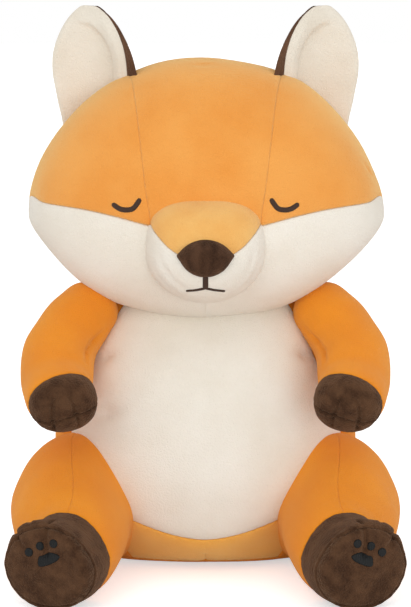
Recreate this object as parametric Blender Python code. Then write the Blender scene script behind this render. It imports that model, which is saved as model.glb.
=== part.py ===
"""A seated plush fox: fabric panels over stuffed cores, in metres, +Z up, facing -Y."""
import math

import bpy
import numpy as np
from mathutils import Matrix, Vector
from mathutils.bvhtree import BVHTree

# Fabric and seams
FABRIC = 0.0018
CLEARANCE = 0.0003
SWEEP_CLEARANCE = 0.00045
SEAM_TUCK = 0.00025
BASE_CUT = 0.0005

# Head
HEAD_HALF_WIDTH = 0.1435
HEAD_MIDDLE_Z = 0.284
HEAD_RISE = 0.125
HEAD_DROP = 0.0840
HEAD_MIDDLE_Y = -0.008
HEAD_FRONT = 0.086
HEAD_BACK = 0.084
GUSSET_HALF_TOP = 0.062
GUSSET_HALF_BOTTOM = 0.043
CHEEK_SEAM_RISE = 0.012

# Muzzle and nose
MUZZLE_HALF_WIDTH = 0.0468
MUZZLE_HALF_HEIGHT = 0.0405
MUZZLE_Z = 0.2620
MUZZLE_MIDDLE_Y = -0.084
MUZZLE_LENGTH = 0.044
MUZZLE_ROOT = 0.020
NOSE_HALF_WIDTH = 0.0220
NOSE_HALF_HEIGHT = 0.0145
NOSE_HALF_DEPTH = 0.0125
NOSE_Z = 0.2605
NOSE_Y = -0.1270

# Embroidery
THREAD_WIDTH = 0.0032
THREAD_PROUD = 0.0008
EYE_INNER = (0.0508, 0.3027)
EYE_LOW = (0.0605, 0.2943)
EYE_OUTER = (0.0722, 0.2985)
MOUTH_HALF_WIDTH = 0.0146
MOUTH_Z = 0.2375
MOUTH_SAG = 0.0032
MOUTH_STEM = 0.0090

# Ears
EAR_LENGTH = 0.108
EAR_HALF_WIDTH = 0.0360
EAR_THICKNESS = 0.0120
EAR_CUP = 0.014
EAR_BASE_X = 0.0765
EAR_BASE_Z = 0.3440
EAR_BASE_Y = 0.002
EAR_LEAN_DEG = 9.0
EAR_TURN_DEG = 24.0

# Body
BODY_HEIGHT = 0.240
BODY_HALF_WIDTH = 0.1225
BODY_FRONT = 0.0975
BODY_BACK = 0.0900
BELLY_SEAM_RISE = 0.052

# Arms
ARM_RADIUS = 0.0290
SHOULDER_X = 0.0850
SHOULDER_Y = -0.0160
SHOULDER_Z = 0.2160
ELBOW_X = 0.1130
ELBOW_Y = -0.0540
ELBOW_Z = 0.1840
WRIST_X = 0.1165
WRIST_Y = -0.0930
WRIST_Z = 0.1590
PAW_X = 0.1060
PAW_Y = -0.1430
PAW_Z = 0.1460

# Legs
HIP_X = 0.0800
HIP_Y = -0.0200
THIGH_HALF_WIDTH = 0.0505
THIGH_HALF_HEIGHT = 0.0565
THIGH_X = 0.1050
THIGH_Y = -0.0620
ANKLE_X = 0.1030
ANKLE_Y = -0.1380
SOLE_X = 0.1215
SOLE_Y = -0.1880
SOLE_CROWN = 0.0015
PAD_PROUD = 0.0010
TOE_PAD_RADIUS = 0.0034
MAIN_PAD_HALF_WIDTH = 0.0098
MAIN_PAD_HALF_HEIGHT = 0.0060
MAIN_PAD_RISE = 0.0066
MAIN_PAD_SHIFT = 0.0040
TOE_DISTANCE = 0.0145
TOE_SPREAD_DEG = 43.0
PAD_ROLL_DEG = 36.0

# Tail
TAIL_RADIUS = 0.0340
TAIL_ROOT_Y = 0.0760
TAIL_ROOT_Z = 0.0480
TAIL_END_Y = 0.1900
TAIL_END_Z = 0.0560

# Joints: the point that each axis passes through
NECK_PIVOT = (0.0, HEAD_MIDDLE_Y, HEAD_MIDDLE_Z - HEAD_DROP)
LEG_PIVOT = (HIP_X, HIP_Y, THIGH_HALF_HEIGHT)
EAR_SEAM_Z = 0.3860
EAR_SEAM_SLOPE_DEG = 38.0
EAR_PIVOT = (EAR_BASE_X, EAR_BASE_Y, EAR_SEAM_Z)
TAIL_SEAM_Y = 0.0860
TAIL_PIVOT = (0.0, TAIL_SEAM_Y, TAIL_ROOT_Z)
ARM_SEAM = (0.0680, -0.0300, 0.2080)
ARM_SEAM_NORMAL_SHARES = (0.76, -0.42, 0.48)
ARM_SEAM_RADIUS = 0.0300
HEAD_NOD_DEG = (-4.0, 5.0)
LEG_LIFT_DEG = (0.0, 9.0)
EAR_FOLD_DEG = (-8.0, 8.0)
TAIL_SWING_DEG = (-8.0, 8.0)

# Half widths and depths of the body at shares of its height
BODY_WIDTH_SHARES = ((0.0, 0.66), (0.025, 0.77), (0.085, 0.89), (0.21, 0.965), (0.36, 1.0), (0.48, 0.995),
                     (0.62, 0.91), (0.75, 0.79), (0.86, 0.66), (0.94, 0.50), (1.0, 0.30))
BODY_FRONT_SHARES = ((0.0, 0.26), (0.025, 0.52), (0.085, 0.78), (0.21, 0.945), (0.40, 1.0), (0.55, 0.97),
                     (0.68, 0.88), (0.78, 0.68), (0.85, 0.46), (0.92, 0.30), (1.0, 0.20))
BODY_BACK_SHARES = ((0.0, 0.62), (0.025, 0.72), (0.085, 0.85), (0.21, 0.955), (0.40, 1.0), (0.55, 0.97),
                    (0.70, 0.88), (0.85, 0.72), (1.0, 0.34))
CHEEK_SEAM_SHARES = ((0.0, -0.35), (0.29, -0.20), (0.578, 0.62), (0.969, 1.0), (1.0, 1.0))
MUZZLE_SEAM_SHARES = ((0.0, 0.0), (0.15, 0.0), (0.20, 0.26), (0.30, 0.64), (0.40, 0.87), (0.5, 1.0), (1.0, 1.0))
BELLY_WIDTH_SHARES = ((0.0, 0.60), (0.12, 0.70), (0.30, 0.84), (0.50, 0.90), (0.68, 0.90), (0.82, 0.88), (1.0, 0.88))
# Rings of a limb: share of its path, share of its half width, share of its half height
ARM_RING_SHARES = ((0.02, 0.60, 0.60), (0.07, 0.78, 0.78), (0.16, 0.88, 0.88), (0.28, 0.93, 0.93), (0.40, 0.97, 0.97),
                   (0.52, 0.99, 0.98), (0.63, 0.98, 0.95), (0.72, 0.94, 0.89), (0.79, 0.96, 0.87), (0.855, 0.96, 0.84),
                   (0.915, 0.88, 0.76), (0.965, 0.66, 0.57), (0.99, 0.36, 0.33))
ARM_CUFF_RING = 9
LEG_PEAR_SHARE = 0.18
LEG_RING_SHARES = ((0.01, 0.50, 0.54), (0.07, 0.78, 0.80), (0.18, 0.95, 0.96), (0.32, 1.0, 1.0), (0.46, 0.93, 0.90),
                   (0.60, 0.80, 0.745), (0.68, 0.745, 0.665), (0.74, 0.72, 0.625), (0.81, 0.73, 0.60),
                   (0.90, 0.74, 0.60), (0.955, 0.73, 0.59), (0.975, 0.68, 0.54), (1.0, 0.36, 0.29))
FOOT_SHARE = 0.60
LEG_CUFF_RING = 8
SOLE_RING = 12
TAIL_RING_SHARES = ((0.0, 0.40), (0.05, 0.53), (0.18, 0.62), (0.36, 0.82), (0.54, 0.98), (0.70, 1.0), (0.84, 0.80),
                    (0.94, 0.50), (0.985, 0.25))
TAIL_TIP_RING = 6
EAR_LEVEL_SHARES = (0.03, 0.18, 0.34, 0.50, 0.66, 0.80, 0.91, 0.975)
EAR_WIDTH_SHARES = ((0.0, 0.90), (0.18, 0.98), (0.36, 1.0), (0.56, 0.98), (0.70, 0.87), (0.80, 0.72), (0.89, 0.52),
                    (0.955, 0.30), (1.0, 0.08))

# The shape of the stitched eyes and mouth, and of a pad: shares of their sizes
EYE_INNER_LIFT_SHARE = 0.20
EYE_OUTER_LIFT_SHARE = 0.14
MOUTH_MIDDLE_SHARE = 0.60
THREAD_END_SHARE = 0.45
PAD_RING_SHARES = ((0.92, 0.0), (1.0, 0.4), (0.62, 0.9))
PAD_TILT_SHARE = 0.6

ORANGE = (0.85, 0.29, 0.045, 1.0)
CREAM = (0.87, 0.80, 0.72, 1.0)
BROWN = (0.075, 0.032, 0.020, 1.0)
THREAD = (0.045, 0.022, 0.012, 1.0)
FILLING = (0.80, 0.80, 0.78, 1.0)


def clear_scene():
    for item in list(bpy.data.objects):
        bpy.data.objects.remove(item, do_unlink=True)


def material(name, colour, roughness):
    made = bpy.data.materials.new(name)
    made.use_nodes = True
    shader = made.node_tree.nodes["Principled BSDF"]
    shader.inputs["Base Color"].default_value = colour
    shader.inputs["Roughness"].default_value = roughness
    shader.inputs["Metallic"].default_value = 0.0
    return made


def curve_value(shares, place):
    """A smooth curve through (place, value) pairs."""
    places = np.array([pair[0] for pair in shares])
    values = np.array([pair[1] for pair in shares])
    slopes = np.gradient(values, places)
    index = int(np.clip(np.searchsorted(places, place) - 1, 0, len(places) - 2))
    width = places[index + 1] - places[index]
    t = (min(max(place, places[0]), places[-1]) - places[index]) / width
    start = (2 * t ** 3 - 3 * t ** 2 + 1) * values[index] + (t ** 3 - 2 * t ** 2 + t) * width * slopes[index]
    end = (-2 * t ** 3 + 3 * t ** 2) * values[index + 1] + (t ** 3 - t ** 2) * width * slopes[index + 1]
    return float(start + end)


def path_point(points, share):
    """A point on the smooth curve through a list of points, and the direction there."""
    count = len(points) - 1
    place = min(max(share, 0.0), 1.0) * count
    index = min(int(place), count - 1)
    t = place - index
    before, start = points[max(index - 1, 0)], points[index]
    end, after = points[index + 1], points[min(index + 2, count)]
    start_slope, end_slope = (end - before) / 2, (after - start) / 2
    point = ((2 * t ** 3 - 3 * t ** 2 + 1) * start + (t ** 3 - 2 * t ** 2 + t) * start_slope
             + (-2 * t ** 3 + 3 * t ** 2) * end + (t ** 3 - t ** 2) * end_slope)
    heading = ((6 * t ** 2 - 6 * t) * start + (3 * t ** 2 - 4 * t + 1) * start_slope
               + (-6 * t ** 2 + 6 * t) * end + (3 * t ** 2 - 2 * t) * end_slope)
    return point, heading.normalized()


def power(value, exponent):
    return math.copysign(abs(value) ** exponent, value)


class Form:
    """A closed surface: a start pole, rings of points that all turn alike, and an end pole."""

    def __init__(self, start, rings, end, splits=None):
        self.start, self.rings, self.end = start, rings, end
        self.rows = len(rings) + 1
        self.columns = len(rings[0])
        self.splits = splits or self.find_splits()

    def index(self, row, column):
        if row == 0:
            return 0
        if row == self.rows:
            return 1 + len(self.rings) * self.columns
        return 1 + (row - 1) * self.columns + column % self.columns

    def points(self):
        return [self.start] + [point for ring in self.rings for point in ring] + [self.end]

    def cell(self, row, column):
        corners = [self.index(row, column), self.index(row, column + 1),
                   self.index(row + 1, column + 1), self.index(row + 1, column)]
        return [corner for place, corner in enumerate(corners) if corner not in corners[:place]]

    def cells(self):
        return [(row, column) for row in range(self.rows) for column in range(self.columns)]

    def find_splits(self):
        """The triangles of each cell, cut along the diagonal that stands further out."""
        splits = {}
        points = self.points()
        for row, column in self.cells():
            corners = self.cell(row, column)
            if len(corners) == 3:
                splits[row, column] = [corners]
                continue
            a, b, c, d = (points[corner] for corner in corners)
            out = (c - a).cross(d - b)
            if ((b + d) - (a + c)).dot(out) < 0.0:
                splits[row, column] = [[corners[0], corners[1], corners[2]], [corners[0], corners[2], corners[3]]]
            else:
                splits[row, column] = [[corners[0], corners[1], corners[3]], [corners[1], corners[2], corners[3]]]
        return splits

    def normals(self):
        points = self.points()
        sums = [Vector((0, 0, 0)) for _ in points]
        for row, column in self.cells():
            corners = self.cell(row, column)
            for place, corner in enumerate(corners):
                after = points[corners[(place + 1) % len(corners)]] - points[corner]
                before = points[corners[place - 1]] - points[corner]
                sums[corner] += after.cross(before).normalized() * after.angle(before, 0.0)
        return [vector.normalized() for vector in sums]

    def grown(self, distance):
        moved = [point + normal * distance for point, normal in zip(self.points(), self.normals())]
        return self.with_points(moved)

    def swept(self, turns, passes=0):
        """The form grown by how far its points move out in the turns; each pass mends where it still falls short."""
        points, faces = self.solid()
        normals = self.normals()
        turned = [turn @ point for turn in turns for point in points]
        reaches = [CLEARANCE + max([0.0] + [(turn @ point - point).dot(normal) for turn in turns])
                   for point, normal in zip(points, normals)]
        for _ in range(passes):
            moved = [point + normal * reach for point, normal, reach in zip(points, normals, reaches)]
            tree = BVHTree.FromPolygons([tuple(point) for point in moved], faces)
            grown = list(reaches)
            for point in turned:
                near, out, face, _ = tree.find_nearest(point)
                lack = SWEEP_CLEARANCE - (near - point).dot(out)
                corner = min(faces[face], key=lambda place: (moved[place] - point).length)
                grown[corner] = max(grown[corner], reaches[corner] + lack)
            reaches = grown
        return self.with_points([point + normal * reach for point, normal, reach in zip(points, normals, reaches)])

    def with_points(self, points):
        rings = [points[1 + row * self.columns:1 + (row + 1) * self.columns] for row in range(len(self.rings))]
        return Form(points[0], rings, points[-1], self.splits)

    def mirrored(self):
        """The same form on the other side of the X = 0 plane, still facing out."""
        def flip(point):
            return Vector((-point.x, point.y, point.z))
        return Form(flip(self.start), [[flip(point) for point in reversed(ring)] for ring in self.rings],
                    flip(self.end))

    def solid(self):
        return self.points(), [face for cell in self.cells() for face in self.splits[cell]]

    def panel(self, cells, depth, tuck=SEAM_TUCK):
        """A patch of the surface, as thick as depth, drawn back from its edge by tuck."""
        chosen = [face for cell in cells for face in self.splits[cell]]
        edges = {}
        around = {}
        points = self.points()
        for row, column in cells:
            corners = self.cell(row, column)
            centre = sum((points[corner] for corner in corners), Vector((0, 0, 0))) / len(corners)
            for corner in corners:
                around.setdefault(corner, []).append(centre)
        for face in chosen:
            for place, corner in enumerate(face):
                edges[(corner, face[(place + 1) % len(face)])] = True
        rim = [edge for edge in edges if (edge[1], edge[0]) not in edges]
        on_rim = {corner for edge in rim for corner in edge}
        inner_points = self.grown(-depth).points()
        used = sorted(around)
        place_of = {corner: place for place, corner in enumerate(used)}
        outer, inner = [], []
        for corner in used:
            shift = Vector((0, 0, 0))
            if corner in on_rim:
                middle = sum(around[corner], Vector((0, 0, 0))) / len(around[corner])
                shift = (middle - points[corner]).normalized() * tuck
            outer.append(points[corner] + shift)
            inner.append(inner_points[corner] + shift)
        count = len(used)
        faces = [[place_of[corner] for corner in face] for face in chosen]
        faces += [[place_of[corner] + count for corner in reversed(face)] for face in chosen]
        faces += [[place_of[b], place_of[a], place_of[a] + count, place_of[b] + count] for a, b in rim]
        return outer + inner, faces


SHARP_DEG = 50.0
SWEEP_STEPS = 4
SWEEP_PASSES = 16
PIVOTS = {}
MATERIALS = {}


def add_pivot(body, point):
    empty = bpy.data.objects.new("pivot_" + body, None)
    empty.location = point
    bpy.context.scene.collection.objects.link(empty)
    PIVOTS[body] = empty
    return empty


def add_object(name, shape, body, finish, cutters=(), solver="EXACT"):
    points, faces = shape
    pivot = PIVOTS[body]
    origin = Vector(pivot.location)
    mesh = bpy.data.meshes.new(name)
    mesh.from_pydata([point - origin for point in points], [], faces)
    mesh.validate()
    mesh.shade_smooth()
    mesh.set_sharp_from_angle(angle=math.radians(SHARP_DEG))
    mesh.materials.append(MATERIALS[finish])
    item = bpy.data.objects.new(name, mesh)
    item.parent = pivot
    bpy.context.scene.collection.objects.link(item)
    for place, cutter in enumerate(cutters):
        cut = item.modifiers.new(f"cut_{place}", "BOOLEAN")
        cut.operation = "DIFFERENCE"
        cut.solver = solver
        cut.object = cutter
    return item


def add_cutter(name, shape):
    points, faces = shape
    mesh = bpy.data.meshes.new(name)
    mesh.from_pydata(points, [], faces)
    mesh.validate()
    item = bpy.data.objects.new(name, mesh)
    item.hide_render = True
    item.display_type = "WIRE"
    bpy.context.scene.collection.objects.link(item)
    return item


def add_slab(name, point, normal, reach):
    """A big block on the far side of a plane."""
    normal = Vector(normal).normalized()
    across = normal.orthogonal().normalized()
    up = normal.cross(across)
    near = [Vector(point) + across * a * reach + up * b * reach for a, b in ((-1, -1), (1, -1), (1, 1), (-1, 1))]
    far = [corner + normal * reach for corner in near]
    faces = [(3, 2, 1, 0), (4, 5, 6, 7), (0, 1, 5, 4), (1, 2, 6, 5), (2, 3, 7, 6), (3, 0, 4, 7)]
    return add_cutter(name, (near + far, faces))


def turn_about(point, axis, angle_deg):
    there = Matrix.Translation(Vector(point))
    back = Matrix.Translation(-Vector(point))
    return there @ Matrix.Rotation(math.radians(angle_deg), 4, Vector(axis)) @ back


def steps_of(span_deg):
    """Angles across a joint's range, its limits among them."""
    low, high = span_deg
    return [low + (high - low) * step / SWEEP_STEPS for step in range(SWEEP_STEPS + 1)]


def mirror_point(point, side):
    return Vector((point[0] * side, point[1], point[2]))


def facing_out(form):
    """The form with its rings turned the way that makes its faces point out."""
    points, faces = form.solid()
    volume = 0.0
    for face in faces:
        for second, third in zip(face[1:], face[2:]):
            volume += points[face[0]].dot(points[second].cross(points[third]))
    if volume > 0.0:
        return form
    return Form(form.start, [list(reversed(ring)) for ring in form.rings], form.end)


# Head: poles at the cheeks' tips, columns that turn from the cheek seam over the crown to the back
HEAD_ROUND = 2.15
HEAD_LOW_ROUND = 2.5
HEAD_DEPTH_ROUND = 2.3
HEAD_SIDE_ROWS = 6
HEAD_HALF_ROWS = 4
HEAD_TOP_COLUMNS = 7
HEAD_BACK_COLUMNS = 10
HEAD_LOW_COLUMNS = 7
TOP_PINCH_SHARE = 0.20
LOW_PINCH_SHARE = 0.45
GUSSET_CURVE = 0.8
CHEEK_SEAM_LIMIT = 0.9


def head_sizes(x):
    """Rise, drop, front depth and back depth of the head's section at x."""
    u = min(abs(x) / HEAD_HALF_WIDTH, 1.0)
    circle = math.sqrt(max(1.0 - u * u, 0.0))
    depth = max(1.0 - u ** HEAD_DEPTH_ROUND, 0.0) ** (1 / HEAD_DEPTH_ROUND)
    return (HEAD_RISE * circle * (1 - TOP_PINCH_SHARE * u ** 5), HEAD_DROP * circle * (1 - LOW_PINCH_SHARE * u ** 4),
            HEAD_FRONT * depth, HEAD_BACK * depth)


def head_point(x, angle):
    rise, drop, front, back = head_sizes(x)
    along, up = math.cos(angle), math.sin(angle)
    exponent = 2 / (HEAD_ROUND if up > 0 else HEAD_LOW_ROUND)
    y = HEAD_MIDDLE_Y - power(along, exponent) * (front if along > 0 else back)
    z = HEAD_MIDDLE_Z + power(up, exponent) * (rise if up > 0 else drop)
    return Vector((x, y, z))


def cheek_angle(x):
    rise, drop, _, _ = head_sizes(x)
    height = CHEEK_SEAM_RISE * curve_value(CHEEK_SEAM_SHARES, abs(x) / HEAD_HALF_WIDTH)
    ratio = height / (rise if height > 0 else drop)
    curve = (HEAD_ROUND if height > 0 else HEAD_LOW_ROUND) / 2
    return math.asin(max(-CHEEK_SEAM_LIMIT, min(CHEEK_SEAM_LIMIT, power(ratio, curve))))


def head_form():
    columns = HEAD_TOP_COLUMNS + HEAD_BACK_COLUMNS + HEAD_LOW_COLUMNS
    rows = 2 * (HEAD_SIDE_ROWS + HEAD_HALF_ROWS)
    rings = []
    for row in range(1, rows):
        ring = []
        for column in range(columns):
            climb = min(column / HEAD_TOP_COLUMNS, 1.0)
            if column > HEAD_TOP_COLUMNS + HEAD_BACK_COLUMNS:
                climb = (columns - column) / HEAD_LOW_COLUMNS
            gusset = GUSSET_HALF_BOTTOM + (GUSSET_HALF_TOP - GUSSET_HALF_BOTTOM) * climb ** GUSSET_CURVE
            from_side = min(row, rows - row)
            if from_side <= HEAD_SIDE_ROWS:
                x = gusset + (HEAD_HALF_WIDTH - gusset) * math.cos(from_side / HEAD_SIDE_ROWS * math.pi / 2)
            else:
                x = gusset * (HEAD_SIDE_ROWS + HEAD_HALF_ROWS - from_side) / HEAD_HALF_ROWS
            x = math.copysign(x, rows / 2 - row)
            seam = cheek_angle(x)
            if column <= HEAD_TOP_COLUMNS:
                angle = seam + (math.pi / 2 - seam) * column / HEAD_TOP_COLUMNS
            elif column <= HEAD_TOP_COLUMNS + HEAD_BACK_COLUMNS:
                angle = math.pi / 2 + math.pi * (column - HEAD_TOP_COLUMNS) / HEAD_BACK_COLUMNS
            else:
                part = (column - HEAD_TOP_COLUMNS - HEAD_BACK_COLUMNS) / HEAD_LOW_COLUMNS
                angle = 1.5 * math.pi + (math.pi / 2 + seam) * part
            ring.append(head_point(x, angle))
        rings.append(ring)
    start = Vector((HEAD_HALF_WIDTH, HEAD_MIDDLE_Y, HEAD_MIDDLE_Z))
    end = Vector((-HEAD_HALF_WIDTH, HEAD_MIDDLE_Y, HEAD_MIDDLE_Z))
    return Form(start, rings, end)


# Muzzle and nose: poles at the front and the back, columns round the front axis
MUZZLE_ROWS = 10
MUZZLE_TOP_COLUMNS = 8
MUZZLE_LOW_COLUMNS = 10
MUZZLE_SEAM_DEG = 24.5
MUZZLE_ROUND = 3.0
MUZZLE_LOW_ROUND = 2.0
MUZZLE_FULLNESS = 0.92
NOSE_ROWS = 6
NOSE_COLUMNS = 14
NOSE_NARROW_SHARE = 0.17


def muzzle_form():
    rings = []
    for row in range(1, MUZZLE_ROWS):
        turn = math.pi * row / MUZZLE_ROWS
        out = math.sin(turn) ** MUZZLE_FULLNESS
        length = MUZZLE_LENGTH if turn < math.pi / 2 else MUZZLE_ROOT
        seam = math.radians(MUZZLE_SEAM_DEG) * curve_value(MUZZLE_SEAM_SHARES, row / MUZZLE_ROWS)
        ring = []
        for column in range(MUZZLE_TOP_COLUMNS + MUZZLE_LOW_COLUMNS):
            if column <= MUZZLE_TOP_COLUMNS:
                angle = math.pi - seam - (math.pi - 2 * seam) * column / MUZZLE_TOP_COLUMNS
            else:
                angle = seam - (math.pi + 2 * seam) * (column - MUZZLE_TOP_COLUMNS) / MUZZLE_LOW_COLUMNS
            exponent = 2 / (MUZZLE_ROUND if math.sin(angle) > 0 else MUZZLE_LOW_ROUND)
            across, up = power(math.cos(angle), exponent), power(math.sin(angle), exponent)
            ring.append(Vector((MUZZLE_HALF_WIDTH * out * across, MUZZLE_MIDDLE_Y - length * math.cos(turn),
                                MUZZLE_Z + MUZZLE_HALF_HEIGHT * out * up)))
        rings.append(ring)
    return Form(Vector((0, MUZZLE_MIDDLE_Y - MUZZLE_LENGTH, MUZZLE_Z)), rings,
                Vector((0, MUZZLE_MIDDLE_Y + MUZZLE_ROOT, MUZZLE_Z)))


def nose_form():
    rings = []
    for row in range(1, NOSE_ROWS):
        turn = math.pi * row / NOSE_ROWS
        ring = []
        for column in range(NOSE_COLUMNS):
            angle = 2 * math.pi * column / NOSE_COLUMNS
            across, up = math.cos(angle), math.sin(angle)
            narrow = 1.0 - NOSE_NARROW_SHARE * max(-up, 0.0) * abs(across)
            ring.append(Vector((NOSE_HALF_WIDTH * math.sin(turn) * across * narrow,
                                NOSE_Y - NOSE_HALF_DEPTH * math.cos(turn),
                                NOSE_Z + NOSE_HALF_HEIGHT * math.sin(turn) * up * narrow)))
        rings.append(ring)
    return facing_out(Form(Vector((0, NOSE_Y - NOSE_HALF_DEPTH, NOSE_Z)), rings,
                           Vector((0, NOSE_Y + NOSE_HALF_DEPTH, NOSE_Z))))


# Body: poles at the floor and the neck, columns from one belly seam round the front to the other
BODY_ROUND = 2.2
BODY_RING_SHARES = (0.0, 0.025, 0.07, 0.13, 0.215, 0.315, 0.42, 0.525, 0.63, 0.73, 0.825, 0.905, 0.965)
BELLY_LOW_RING = 4
BELLY_SEAM_CURVE = 1.6
BELLY_SEAM_SPREAD = 1.6
BELLY_COLUMNS = 10
SIDE_COLUMNS = 7


def body_form():
    rings = []
    for place, level in enumerate(BODY_RING_SHARES):
        ring = []
        for column in range(BELLY_COLUMNS + 2 * SIDE_COLUMNS):
            seam = math.asin(min(curve_value(BELLY_WIDTH_SHARES, level) ** (BODY_ROUND / 2), 1.0))
            if column <= BELLY_COLUMNS:
                angle = -seam + 2 * seam * column / BELLY_COLUMNS
            else:
                angle = seam + (2 * math.pi - 2 * seam) * (column - BELLY_COLUMNS) / (2 * SIDE_COLUMNS)
            frontness = max(math.cos(angle), 0.0)
            near_seam = math.exp(-((place + 1 - BELLY_LOW_RING) / BELLY_SEAM_SPREAD) ** 2) if place > 1 else 0.0
            lift = BELLY_SEAM_RISE * near_seam * frontness * abs(math.sin(angle)) ** BELLY_SEAM_CURVE
            half = BODY_HALF_WIDTH * curve_value(BODY_WIDTH_SHARES, level)
            front = BODY_FRONT * curve_value(BODY_FRONT_SHARES, level)
            back = BODY_BACK * curve_value(BODY_BACK_SHARES, level)
            depth = front if math.cos(angle) > 0 else back
            ring.append(Vector((half * power(math.sin(angle), 2 / BODY_ROUND),
                                -depth * power(math.cos(angle), 2 / BODY_ROUND), BODY_HEIGHT * level + lift)))
        rings.append(ring)
    return Form(Vector((0, 0, 0)), rings, Vector((0, 0, BODY_HEIGHT)))


def limb_form(path, rings_table, half_width, half_height, columns, on_floor=False, tip=0.0, pear=0.0):
    """Rings square to a path; a limb on the floor has its underside at one level."""
    rings = []
    for share, wide, high in rings_table:
        point, heading = path_point(path, share)
        if on_floor:
            point = Vector((point.x, point.y, half_height * max(high, FOOT_SHARE) - BASE_CUT))
            heading = Vector((heading.x, heading.y, 0)).normalized()
        side = heading.cross(Vector((0, 0, 1))).normalized()
        up = side.cross(heading)
        taper = [1.0 - pear * max(math.sin(2 * math.pi * column / columns), 0.0) for column in range(columns)]
        rings.append([point + side * (half_width * wide * taper[column] * math.cos(2 * math.pi * column / columns))
                      + up * (half_height * high * math.sin(2 * math.pi * column / columns))
                      for column in range(columns)])
    start, _ = path_point(path, 0.0)
    end, heading = path_point(path, 1.0)
    if on_floor:
        middle = sum(rings[-1], Vector((0, 0, 0))) / columns
        first = sum(rings[0], Vector((0, 0, 0))) / columns
        heading = Vector((heading.x, heading.y, 0)).normalized()
        start, end = first, middle
    return facing_out(Form(start, rings, end + heading * tip))


ARM_COLUMNS = 14
LEG_COLUMNS = 16
TAIL_COLUMNS = 12


def arm_form():
    path = [Vector((SHOULDER_X, SHOULDER_Y, SHOULDER_Z)), Vector((ELBOW_X, ELBOW_Y, ELBOW_Z)),
            Vector((WRIST_X, WRIST_Y, WRIST_Z)), Vector((PAW_X, PAW_Y, PAW_Z))]
    return limb_form(path, ARM_RING_SHARES, ARM_RADIUS, ARM_RADIUS, ARM_COLUMNS)


def leg_form():
    path = [Vector((HIP_X, HIP_Y, THIGH_HALF_HEIGHT)), Vector((THIGH_X, THIGH_Y, THIGH_HALF_HEIGHT)),
            Vector((ANKLE_X, ANKLE_Y, 0.0)), Vector((SOLE_X, SOLE_Y, 0.0))]
    return limb_form(path, LEG_RING_SHARES, THIGH_HALF_WIDTH, THIGH_HALF_HEIGHT, LEG_COLUMNS, True, SOLE_CROWN,
                     LEG_PEAR_SHARE)


def tail_form():
    path = [Vector((0, TAIL_ROOT_Y, TAIL_ROOT_Z)),
            Vector((0, (TAIL_ROOT_Y + TAIL_END_Y) / 2, TAIL_RADIUS)),
            Vector((0, TAIL_END_Y, TAIL_END_Z))]
    table = [(share, wide, wide) for share, wide in TAIL_RING_SHARES]
    return limb_form(path, table, TAIL_RADIUS, TAIL_RADIUS, TAIL_COLUMNS)


# Ears: a cupped leaf in two halves, the white lining in front and the dark back behind
EAR_ARC_COLUMNS = 7
EAR_CHORD_COLUMNS = 5
EAR_TIP_FULLNESS = 1.6
EAR_LINING_FROM_DEG = -20.0
EAR_LINING_TO_DEG = 150.0


def ear_form(lining):
    lean, turn = math.radians(EAR_LEAN_DEG), math.radians(EAR_TURN_DEG)
    ahead = Vector((math.sin(turn), -math.cos(turn), 0))
    outward = Vector((math.cos(turn), math.sin(turn), 0))
    up = Vector((math.sin(lean), 0, math.cos(lean)))
    base = Vector((EAR_BASE_X, EAR_BASE_Y, EAR_BASE_Z))
    first, last = math.radians(EAR_LINING_FROM_DEG), math.radians(EAR_LINING_TO_DEG)
    if not lining:
        first, last = last, first + 2 * math.pi

    def place(across, proud, level):
        cup = EAR_CUP * (across / EAR_HALF_WIDTH) ** 2
        return base + up * (EAR_LENGTH * level) + outward * across + ahead * (proud + cup)

    rings = []
    for level in EAR_LEVEL_SHARES:
        width = EAR_HALF_WIDTH * curve_value(EAR_WIDTH_SHARES, level)
        thick = EAR_THICKNESS / 2 * min(1.0, EAR_TIP_FULLNESS * width / EAR_HALF_WIDTH)
        ring = []
        for column in range(EAR_ARC_COLUMNS + 1):
            angle = first + (last - first) * column / EAR_ARC_COLUMNS
            ring.append((width * math.cos(angle), thick * math.sin(angle)))
        apart = 2 * CLEARANCE if lining else -2 * CLEARANCE
        ring[0] = (ring[0][0], ring[0][1] + apart)
        ring[-1] = (ring[-1][0], ring[-1][1] + apart)
        start, end = ring[0], ring[-1]
        for column in range(1, EAR_CHORD_COLUMNS):
            part = column / EAR_CHORD_COLUMNS
            ring.append((end[0] + (start[0] - end[0]) * part, end[1] + (start[1] - end[1]) * part))
        rings.append([place(across, proud, level) for across, proud in ring])
    middle_first = sum(rings[0], Vector((0, 0, 0))) / len(rings[0])
    middle_last = sum(rings[-1], Vector((0, 0, 0))) / len(rings[-1])
    return facing_out(Form(middle_first, rings, middle_last + up * (EAR_LENGTH * (1 - EAR_LEVEL_SHARES[-1]))))


class Surface:
    """Finds points on a form's faces, for what is sewn or stitched on it."""

    def __init__(self, form):
        points, faces = form.solid()
        self.tree = BVHTree.FromPolygons([tuple(point) for point in points], faces)

    def hit(self, start, direction):
        point, normal, _, _ = self.tree.ray_cast(start, direction)
        return point, (normal if normal.dot(direction) < 0 else -normal)


THREAD_COLUMNS = 6
THREAD_STEPS = 8
PAD_COLUMNS = 12


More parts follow.
